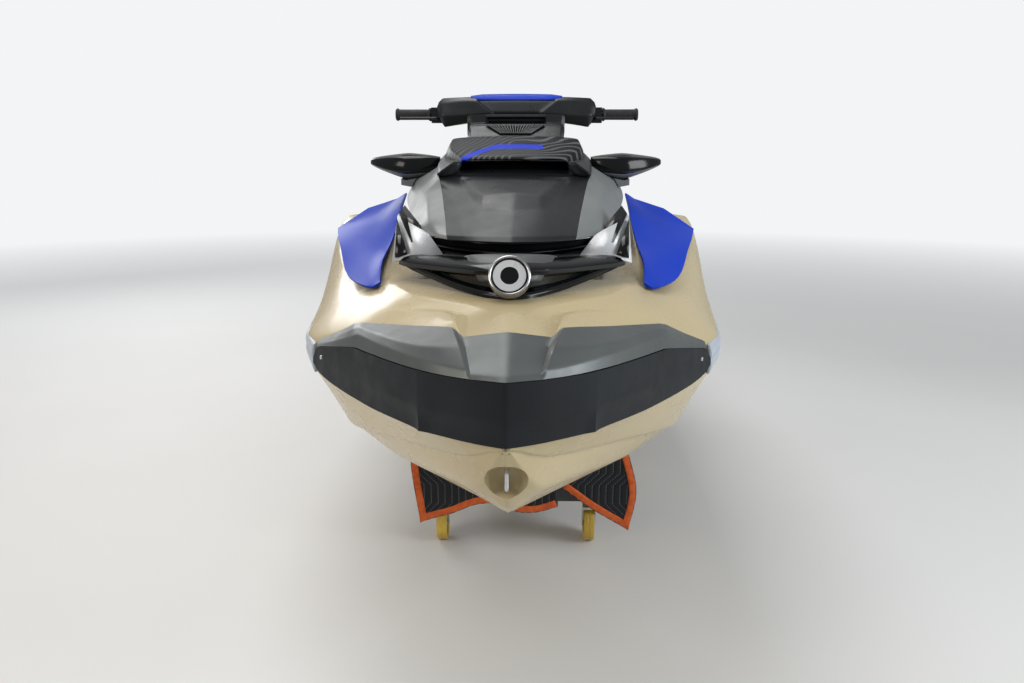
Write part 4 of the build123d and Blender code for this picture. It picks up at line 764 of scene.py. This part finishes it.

# gauge cowl with painted shade on the faces inside its slot, and its fan of fins over a sheet of painted shade
cowlEdge = [(1216, 1008), (1222, 1014), (1296, 1044), (1300, 1049), (1330, 1052), (1333, 1056), (1338, 1070),
            (1339, 1073),
            (1342, 1081), (1352, 1081), (1356, 1060)]
cowlSlot = {5: (1352, 1053), 6: (1354, 1069), 7: (1337, 1072)}
rows = []
for half, fall in ((0, 0), (90, 0), (95, 0), (136, 2)):
    rows.append([(half + (aft - 1216) / 14 * (fall > 0), aft, up - fall) for aft, up in
                 (cowlSlot.get(i, p) if half < 92 else p for i, p in enumerate(cowlEdge))])
rows.append([(half + 10, aft + 4, min(up - 4, 1076) if up > 1055 else up - 28) for half, aft, up in rows[-1]])
rows = acrossNose(rows)
cowlForm = strip(rows, False, {0: 1, 2: 0.8, 3: 0.8, 5: 0.9, 7: 0.9, 8: 0.9, 10: 1},
                 {0: 1, -1: 1, 1: 0.9, 2: 0.8, 3: 0.8, 5: 0.8, 6: 0.8, 7: 0.9})
cowl = piece("gaugeCowl", cowlForm, hoodBlack, "hood", ("gauge_cowl",), 2, 0.004, 0.001)
# painted shade on the faces inside the slot
cowl.data.materials.append(paintedShadeBlack.material)
for face in cowl.data.polygons:
    x, y, z = face.center
    if abs(x) < 0.092 and bowY + 1.333 < y < bowY + 1.3535 and keelZ + 1.05 < z < keelZ + 1.0715:
        face.material_index = 1
# a sheet of painted shade under the fins, dark in the gaps between them
finShadeForm = bmesh.new()
finShadeForm.faces.new([finShadeForm.verts.new(spot(*p)) for p in ((-46, 1228, 1018), (46, 1228, 1018), (94, 1290, 1043),
                                                         (-94, 1290, 1043))])
piece("finShadeSheet", finShadeForm, paintedShadeBlack, "hood", wall=0.001, side=1)
finsForm = bmesh.new()
for turn in range(-9, 10):
    near, far = turn * 5, turn * 9.7
    low, high = spot(near, 1232, 1019.5), spot(far, 1290, 1046)
    up = Vector((0, -0.42, 0.9)) * 0.0035
    wide = Vector((0.0014, 0, 0))
    ends = [finsForm.verts.new(p) for p in (low - wide, low + wide, low + wide + up, low - wide + up)]
    face = finsForm.faces.new(ends)
    made = bmesh.ops.extrude_face_region(finsForm, geom=[face])["geom"]
    bmesh.ops.translate(finsForm, verts=[v for v in made if isinstance(v, bmesh.types.BMVert)], vec=high - low)
bmesh.ops.recalc_face_normals(finsForm, faces=finsForm.faces)
piece("cowlFins", finsForm, capGrey, "hood")
print("deflector and cowl made")

# mirrors: rings from the root to the tip
mirrorRings = [
    [(224, 1172, 912), (226, 1170, 930), (228, 1176, 948), (230, 1206, 952), (232, 1238, 950), (232, 1240, 928),
     (230, 1236, 910), (226, 1200, 902)],
    [(260, 1152, 904), (262, 1150, 930), (262, 1158, 951), (262, 1206, 958), (262, 1246, 956), (262, 1250, 928),
     (262, 1246, 898), (260, 1196, 890)],
    [(330, 1140, 900), (330, 1138, 930), (330, 1150, 951), (330, 1206, 962), (330, 1256, 963), (330, 1258, 928),
     (330, 1252, 888), (330, 1190, 877)],
    [(400, 1176, 914), (400, 1176, 930), (400, 1184, 947), (400, 1220, 954), (400, 1256, 955), (400, 1258, 930),
     (400, 1254, 908), (400, 1216, 902)],
    [(440, 1218, 926), (441, 1218, 934), (441, 1222, 944), (442, 1238, 948), (442, 1254, 948), (442, 1256, 934),
     (441, 1254, 922), (440, 1236, 920)],
    [(448, 1232, 930), (448, 1232, 934), (448, 1234, 940), (448, 1242, 942), (448, 1252, 942), (448, 1254, 934),
     (448, 1252, 926), (448, 1242, 926)],
]
mirrorForm = strip(spots(mirrorRings), True, {0: 0.8, 2: 0.8, 4: 0.9, 6: 0.8}, {0: 1, -1: 1, 2: 0.4}, (0, -1))
mirrors = piece("mirrorHousings", facing(mirrorForm), glossBlack, "hood", ("mirror_shells",), 2)
mirrors.data.materials.append(flankGrey.material)
for face in mirrors.data.polygons:
    if face.center.z < keelZ + 0.916 and face.normal.z < 0.2:
        face.material_index = 1
print("mirrors made")

# steering pad: rings along the bar, aft and up from its straight ends
barAft, barUp = 1503, 1084
# half, aft and up: face's foot, lower and upper edge, top's front and crest, back's top and foot, underside
padRings = [
    [(0, -70, -16), (0, -83, 5), (0, -63, 40), (0, -40, 56), (0, -10, 64), (0, 28, 36), (0, 31, 0), (0, 25, -20)],
    [(72, -70, -16), (74, -83, 5), (122, -63, 40), (122, -40, 55), (122, -12, 62), (100, 28, 34), (100, 30, -2),
     (80, 25, -20)],
    [(78, -80, -16), (80, -92, 3), (130, -72, 42), (132, -44, 54), (134, -14, 60), (110, 27, 33), (110, 29, -3),
     (90, 24, -21)],
    [(160, -72, -28), (165, -84, -1), (170, -68, 44), (172, -44, 55), (172, -20, 57), (165, 24, 30), (165, 24, -6),
     (160, 18, -28)],
    [(236, -60, -42), (243, -72, -4), (244, -50, 36), (243, -36, 52), (243, -22, 50), (240, 16, 24), (240, 16, -6),
     (236, 0, -40)],
    [(244, -54, -30), (258, -58, -2), (262, -50, 24), (257, -42, 38), (256, -24, 37), (257, 6, 16), (257, 6, -4),
     (248, -20, -30)],
]
rows = acrossNose([[(half, barAft + aft, barUp + up) for half, aft, up in ring] for ring in padRings])
padForm = strip(rows, True, {0: 0.6, 1: 0.95, 2: 0.9, 3: 0.6, 5: 0.6, 7: 0.6},
                {0: 0.8, -1: 0.8, 4: 0.95, 6: 0.95, 3: 0.9, 7: 0.9, 1: 0.7, 9: 0.7}, (0, -1))
piece("steeringPad", padForm, hoodBlack, "steering", ("steering_pad",), 3)
rows = acrossNose([[(half, barAft + aft, barUp + up) for aft, up in ring] for half, ring in (
    (0, ((-60, 44), (-43, 60), (-10, 68.5), (22, 46), (0, 30))),
    (116, ((-62, 45), (-46, 59), (-14, 66), (20, 42), (0, 30))),
    (150, ((-52, 51), (-44, 57), (-20, 60.5), (8, 44), (-10, 36))))])
piece("padTrim", strip(rows, True, {0: 0.9, 1: 0.8, 2: 0.5, 3: 0.8}, {0: 1, -1: 1, 1: 0.7, 3: 0.7}, (0, -1)),
      panelBlue, "steering",
      ("pad_trim",), 2)

# grips: a ribbed profile turned about the bar
gripProfile = [(286, 11.5), (286, 21), (290, 22), (294, 19), (296, 17)]
for rib in range(11):
    gripProfile += [(300 + rib * 8, 16.4), (303 + rib * 8, 17.2), (306 + rib * 8, 17.2)]
gripProfile += [(392, 17), (395, 20), (400, 20.5), (404, 17), (404.5, 6), (404.5, 0.05)]
gripLine = [spot(half, barAft, barUp + r) for half, r in gripProfile]
gripForm = revolve(gripLine, spot(0, barAft, barUp), (1, 0, 0), 32, 1e-4)
piece("barGrips", facing(gripForm), gripRubber, "steering", ("grips",))
print("pad and grips made")

# seats: swollen by the cloth solver over a level base, then seamed and stitched; mm above the seat's base
seat = {"base": 640, "voxel": 0.006, "cap": 0.009, "frames": 20, "groove": 0.0042, "grooveWidth": 0.0045, "rail": 66,
        "stitch": 9}
seatRows = {
    "seatFront": [(1652, 100, 128, 140), (1664, 116, 146, 160), (1740, 154, 190, 196), (1860, 164, 196, 198),
                  (2000, 164, 198, 200),
                  (2200, 168, 204, 208), (2310, 172, 206, 212), (2324, 166, 196, 200)],
    "seatRear": [(2337, 168, 216, 224), (2350, 176, 230, 240), (2500, 180, 238, 246), (2640, 180, 238, 246),
                 (2720, 174, 226, 234),
                 (2774, 160, 200, 208), (2787, 146, 176, 182)],
}
seatSeams = {"seatFront": (1890, 1990, 2090, 2190), "seatRear": (2440, 2530, 2620)}


def swollen(made):  # no point moves by more than the cap, and the base stays level
    even = made.modifiers.new("even", "REMESH")
    even.mode, even.voxel_size = "VOXEL", seat["voxel"]
    bake(made)
    rest = [vert.co.copy() for vert in made.data.vertices]
    foot = made.vertex_groups.new(name="foot")
    foot.add([i for i, at in enumerate(rest) if at.z < keelZ + (seat["base"] + 9) / 1000], 1, "REPLACE")
    filling = made.modifiers.new("filling", "CLOTH")
    filling.settings.use_pressure, filling.settings.uniform_pressure_force = True, 4
    filling.settings.effector_weights.gravity = 0
    filling.settings.vertex_group_mass = "foot"
    filling.point_cache.frame_start, filling.point_cache.frame_end = 1, seat["frames"]
    for tick in range(1, seat["frames"] + 1):
        bpy.context.scene.frame_set(tick)
    bake(made)
    bpy.context.scene.frame_set(1)
    made.vertex_groups.clear()
    for vert, was in zip(made.data.vertices, rest):
        moved = vert.co - was
        if moved.length > seat["cap"]:
            vert.co = was + moved * (seat["cap"] / moved.length)
    finer = made.modifiers.new("finer", "SUBSURF")
    finer.levels = finer.render_levels = 1
    return bake(made)


def offSeams(name, at):  # mm on plan to the nearest seam: the rail line, or a V channel inside it
    aft, half = (at.y - bowY) * 1000, abs(at.x) * 1000
    rail = between(seatRows[name], aft, 1) - seat["rail"]
    channels = [abs(aft - start + 0.45 * half) * 0.9 for start in seatSeams[name]] if half < rail else []
    return min([abs(half - rail)] + channels)


for name, node in (("seatFront", "seat_front"), ("seatRear", "seat_rear")):
    rows = []
    for aft, half, shoulder, top in seatRows[name]:
        points = [(half - 34, 0), (half - 4, 6), (half + 2, 60), (half - 16, shoulder - 44), (half - 30, shoulder - 14),
                  (half - 62, shoulder - 2), (half * 0.3, top), (0, top)]
        rows.append([spot(x, aft, seat["base"] + up) for x, up in points] +
                    [spot(-x, aft, seat["base"] + up) for x, up in reversed(points[:-1])])
    seatForm = strip(rows, True, {0: 0.9, 14: 0.9, 1: 0.5, 13: 0.5, 3: 0.4, 11: 0.4}, {0: 0.6, -1: 0.6}, (0, -1))
    made = swollen(bake(piece(name, seatForm, seatVinyl, stands=(node,), levels=3)))
    normals = [vert.normal.copy() for vert in made.data.vertices]
    for vert, normal in zip(made.data.vertices, normals):
        if normal.z > 0.35 and vert.co.z > keelZ + (seat["base"] + 90) / 1000:
            away = offSeams(name, vert.co) / 1000 / seat["grooveWidth"]
            vert.co -= normal * seat["groove"] * math.exp(-away * away)
    surface = bmesh.new()
    surface.from_mesh(made.data)
    skin = BVHTree.FromBMesh(surface)
    surface.free()
    stitches = bmesh.new()
    first, end = seatRows[name][1][0] + 14, seatRows[name][-2][0] - 14
    for step in range(int((end - first) / seat["stitch"])):
        aft = first + step * seat["stitch"]
        for side in (-1, 1):
            for beside in (-7, 7):
                half = side * (between(seatRows[name], aft, 1) - seat["rail"] + beside)
                hit, normal, _, _ = skin.ray_cast(spot(half, aft, 1000), Vector((0, 0, -1)))
                if hit:
                    turned = Matrix.Translation(hit) @ normal.to_track_quat("Z", "Y").to_matrix().to_4x4()
                    bmesh.ops.create_cube(stitches, size=1,
                                          matrix=turned @ Matrix.Diagonal((0.0012, 0.0055, 0.0012, 1)))
    piece(name + "Stitches", stitches, seatThread)
print("seats made")

# caster wheels, each turned about its own axle from the wheel's box
casterTread = Finish("casterTread", (0.62, 0.44, 0.07), 0.32, Specular_IOR_Level=0.4)
casterTread.tint(casterTread.spread(casterTread.noise(14, 4.0), 0.4, 0.7), (0.50, 0.32, 0.05))
casterTread.vary(casterTread.noise(60, 4.0), 0.08)
casterTread.bump(casterTread.noise(90, 4.0), 0.0006, 0.4)
tread = [(0.10, 0.0), (0.10, 0.42), (0.30, 0.42), (0.30, 0.62), (0.16, 0.66), (0.16, 0.80), (0.40, 0.86), (0.48, 0.91),
         (0.44, 0.98), (0.30, 1.0), (0.05, 1.0), (0.0, 0.965)]  # shares of the half width and of the radius
for corner in ("front_left", "front_right", "rear_left", "rear_right"):
    low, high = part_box(f"caster_wheel_{corner}")
    middle, reach, radius = (low + high) / 2, high.x - low.x, (high.z - low.z) / 2
    profile = tread + [(-part, r) for part, r in reversed(tread[:-1])]
    tyreLine = [middle + Vector((part * reach, 0, r * radius)) for part, r in profile]
    wheelForm = revolve(tyreLine, middle, (1, 0, 0), 40)
    wheel = piece(f"casterTyre_{corner}", wheelForm, casterTread, f"wheel_{corner}", (f"caster_wheel_{corner}",),
                  bevel=0.0015)
    wheel.data.materials.append(zincSteel.material)
    for face in wheel.data.polygons:
        away = face.center - middle
        if math.hypot(away.y, away.z) < 0.62 * radius:
            face.material_index = 1
print("casters made")

# moving blankets, quilted, between the bunks and the hull; mm across and up from the keel
quilt = {"pitch": 0.023, "slant": 0.045, "turn": 0.11, "thick": 0.0062, "tape": 24, "tapeThick": 5, "plane": 1187}
cloth = Finish("quiltedCloth", (0.0075, 0.0085, 0.011), 0.85, Specular_IOR_Level=0.15, Sheen_Weight=0.25,
               Sheen_Roughness=0.5)
lines = cloth.node("ShaderNodeUVMap", {"uv_map": "quilt"}, {}, "UV")
acrossCloth, alongCloth, _ = cloth.axes(lines)
offLine = acrossCloth.fold(quilt["pitch"] / 2)
thread = offLine.below(0.0008) * (alongCloth * 900).wave().above(-0.5)
cloth.tint(cloth.spread(cloth.noise(900, 2.0), 0.35, 0.65), (0.013, 0.0145, 0.018))
cloth.tint(thread, (0.16, 0.165, 0.17))
cloth.bump(cloth.spread(offLine, 0, 0.006) + 0.12 * cloth.noise(1400, 2.0) - 0.4 * thread, 0.002, 0.6)
tape = Finish("orangeBinding", (0.60, 0.115, 0.022), 0.7, Specular_IOR_Level=0.2, Sheen_Weight=0.2)
weave = (tape.axes()[0] * 2600).wave() * (tape.axes()[2] * 2600).wave()
tape.tint(tape.spread(tape.noise(60, 4.0), 0.4, 0.7), (0.46, 0.075, 0.014))
tape.bump(0.3 * weave + tape.noise(120, 4.0), 0.0012, 0.5)


def zigzag(down):  # upright runs joined by slanting ones
    swing = abs((down / quilt["turn"]) % 2 - 1)
    return quilt["slant"] * min(1, max(0, (swing - 0.3) / 0.4))


def hanging(x, up):  # the cloth hangs in shallow waves that grow towards its lower edge
    fall = min(1, max(0, (90 - up) / 320))
    sway = 5 * math.sin(x / 47 + 0.6) + 3 * math.sin(x / 19 + up / 70)
    return spot(x, quilt["plane"] + sway * fall, up)


def underHull(x, drop=3.4):
    return abs(x) * math.tan(math.radians(21)) - drop


def share(first, second, part):
    return [a + (b - a) * part for a, b in zip(first, second)]


blankets = [
    {"name": "blanketPort", "node": "blanket_left", "side": 1, "onBunk": 5, "flat": (0.27, 1.80), "area": 0.29,
     "top": [188, 227, 266, 305, 344], "bottom": [(157, -116), (203, -150), (249, -186), (312, -226), (375, -263)],
     "inner": [(157, 20), (157, -50), (157, -95)], "outer": [(356, 50), (386, -50), (408, -134)]},
    {"name": "blanketStarboard", "node": "blanket_right", "side": -1, "onBunk": 4, "flat": (0.50, 1.80), "area": 0.38,
     "top": [-344, -292, -240, -188, -150, -112, -75, -37, 0, 40, 85, 141],
     "bottom": [(-314, -239), (-262, -224), (-209, -210), (-168, -190), (-127, -172), (-91, -168), (-55, -168),
                (-25, -186), (4, -203), (45, -206), (86, -203), (141, -179)],
     "inner": [(-345, 20), (-340, -70), (-326, -160)], "outer": [(141, 10), (141, -60), (141, -120)]},
]
for blanket in blankets:
    count = len(blanket["top"])
    top = [(x, underHull(x, 7)) for x in blanket["top"]]
    flap = [blanket["bottom"]]
    for level, (near, far) in reversed(list(enumerate(zip(blanket["inner"], blanket["outer"])))):
        blendIn = (0.2, 0.55, 0.85)[level]
        row = []
        for column in range(count):
            x, up = share(top[column], blanket["bottom"][column], blendIn)
            part = column / (count - 1)
            edgeX = share(near, far, part)
            row.append((edgeX[0], up + (near[1] - share(top[0], blanket["bottom"][0], blendIn)[1]) * (1 - part)
                        + (far[1] - share(top[-1], blanket["bottom"][-1], blendIn)[1]) * part))
        flap.append(row)
    flap.append(top)
    form = strip([[hanging(*p) for p in row] for row in flap])
    form.verts.ensure_lookup_table()
    ring = sorted((v for v in form.verts if abs(v.co.z - spot(0, 0, underHull((v.co.x) * 1000, 7)).z) < 1e-5),
                  key=lambda v: v.co.x)
    ring = ring[:blanket["onBunk"]]
    for aft, drop in ((1194, 4), (1206, 3.4), (1300, 3.4), (1500, 3.4), (1750, 3.4), (2000, 3.4), (2250, 3.4),
                      (2500, 3.4), (2610, 3.4), (2632, 5)):
        ring = drawOut(form, ring, [spot(v.co.x * 1000, aft, underHull(v.co.x * 1000, drop)) for v in ring])
    made = bake(piece(blanket["name"], form, cloth, stands=(blanket["node"],), levels=4))
    uvs = made.data.uv_layers.new(name="quilt")
    puff = made.vertex_groups.new(name="puff")
    front = spot(0, quilt["plane"] + 8, 0).y
    for vert in made.data.vertices:
        down = vert.co.z if vert.co.y < front else keelZ + 0.06 - (vert.co.y - front)
        acrossAt = vert.co.x * blanket["side"] + zigzag(down)
        offLine = abs((acrossAt / quilt["pitch"] + 0.5) % 1 - 0.5) * quilt["pitch"]
        puff.add([vert.index], 0.35 + 0.65 * min(1, offLine / 0.006) ** 0.5, "REPLACE")
    for loop in made.data.loops:
        place = made.data.vertices[loop.vertex_index].co
        down = place.z if place.y < front else keelZ + 0.06 - (place.y - front)
        uvs.data[loop.index].uv = (place.x * blanket["side"] + zigzag(down), down)
    thick = made.modifiers.new("wall", "SOLIDIFY")
    thick.thickness, thick.offset, thick.vertex_group = quilt["thick"], 0, "puff"
    edge = [row[-1 if blanket["side"] == 1 else 0] for row in reversed(flap[1:-1])]
    edge += list(reversed(blanket["bottom"])) if blanket["side"] == 1 else list(blanket["bottom"])
    tapeRows = []
    for i, here in enumerate(edge):
        before, after = Vector(edge[max(i - 1, 0)]), Vector(edge[min(i + 1, len(edge) - 1)])
        here = Vector(here)
        first, second = (here - before).normalized(), (after - here).normalized()
        along = (first + second).normalized()
        inward = Vector((along.y, -along.x)) * (-1 if blanket["side"] == -1 else 1)
        wide = quilt["tape"] / max(0.6, abs((first if first.length else second).dot(along)))
        inPoint, outPoint = here + inward * wide, here - inward * 1.5
        half = Vector((0, quilt["tapeThick"] / 1000, 0))
        near, far = hanging(*inPoint), hanging(*outPoint)
        tapeRows.append([near - half, far - half, far + half, near + half])
    tip = len(flap) - 2  # the corner keeps its mitre
    tapeForm = strip(tapeRows, True, {0: 0.6, 3: 0.6}, {0: 1, -1: 1, tip: 1}, (0, -1), pins=[(tip, 1), (tip, 2)])
    bound = piece(blanket["name"] + "Tape", tapeForm, tape, levels=2)
print("blankets made")

# stage: pale floor that fades into the studio, and four lamps
studio = {"tint": (0.97, 0.985, 1.0, 1), "fill": 0.34, "seen": 0.92, "fadeFrom": 3.2, "fadeTo": 11.0}
floorForm = bmesh.new()
bmesh.ops.create_grid(floorForm, x_segments=2, y_segments=2, size=20)
floorFinish = Finish("paleFloor", (0.72, 0.72, 0.715), 0.6)
floorFinish.tint(floorFinish.spread(floorFinish.noise(0.7, 3.0), 0.3, 0.7), (0.69, 0.69, 0.69))
glow = floorFinish.node("ShaderNodeEmission", {}, {"Color": studio["tint"], "Strength": studio["seen"]})
eastward, northward, _ = floorFinish.axes()
away = (eastward * eastward + northward * northward) ** 0.5
seenOnly = floorFinish.node("ShaderNodeLightPath", {}, {}, "Is Camera Ray")
fade = floorFinish.spread(away, studio["fadeFrom"], studio["fadeTo"]) * seenOnly
floorFinish.feed(floorFinish.tree.nodes["Material Output"].inputs["Surface"],
                 floorFinish.node("ShaderNodeMixShader", {},
                                  {0: fade, 1: Signal(floorFinish, floorFinish.shader.outputs[0]), 2: glow}))
floorMesh = bpy.data.meshes.new("floor")
floorForm.to_mesh(floorMesh)
floorForm.free()
floor = placed("floor", floorMesh)
floorMesh.materials.append(floorFinish.material)

world = bpy.data.worlds.new("studio")
bpy.context.scene.world = world
world.use_nodes = True
worldTree = world.node_tree
backdrop = worldTree.nodes["Background"]
rays = worldTree.nodes.new("ShaderNodeLightPath")
seen = worldTree.nodes.new("ShaderNodeMath")
seen.operation = "MAXIMUM"
worldTree.links.new(rays.outputs["Is Camera Ray"], seen.inputs[0])
worldTree.links.new(rays.outputs["Is Transmission Ray"], seen.inputs[1])
level = worldTree.nodes.new("ShaderNodeMapRange")
level.inputs["To Min"].default_value = studio["fill"]
level.inputs["To Max"].default_value = studio["seen"]
worldTree.links.new(seen.outputs[0], level.inputs["Value"])
worldTree.links.new(level.outputs[0], backdrop.inputs["Strength"])
backdrop.inputs["Color"].default_value = studio["tint"]

lamps = {  # name: place, aimed at, size across and up, watts, colour
    "window": ((4.4, -2.6, 2.6), (0, -0.5, 0.7), 2.6, 3.0, 165, (0.93, 0.97, 1.0)),
    "warm": ((-3.8, -3.6, 3.0), (0, -0.6, 0.7), 2.4, 2.0, 70, (1.0, 0.9, 0.78)),
    "overhead": ((-1.0, 0.9, 4.8), (-1.0, 0.9, 0), 2.4, 5.6, 130, (1.0, 0.99, 0.97)),
    "rear": ((-3.6, 4.6, 3.0), (0, 0.4, 0.8), 3.0, 2.0, 90, (1.0, 1.0, 1.0)),
}
for name, (place, aim, wide, tall, power, colour) in lamps.items():
    lamp = bpy.data.lights.new(name, "AREA")
    lamp.shape, lamp.size, lamp.size_y = "RECTANGLE", wide, tall
    lamp.energy, lamp.color = power, colour
    stand = placed(name, lamp)
    stand.location = place
    stand.rotation_euler = (Vector(aim) - Vector(place)).to_track_quat("-Z", "Y").to_euler()
print("stage set")
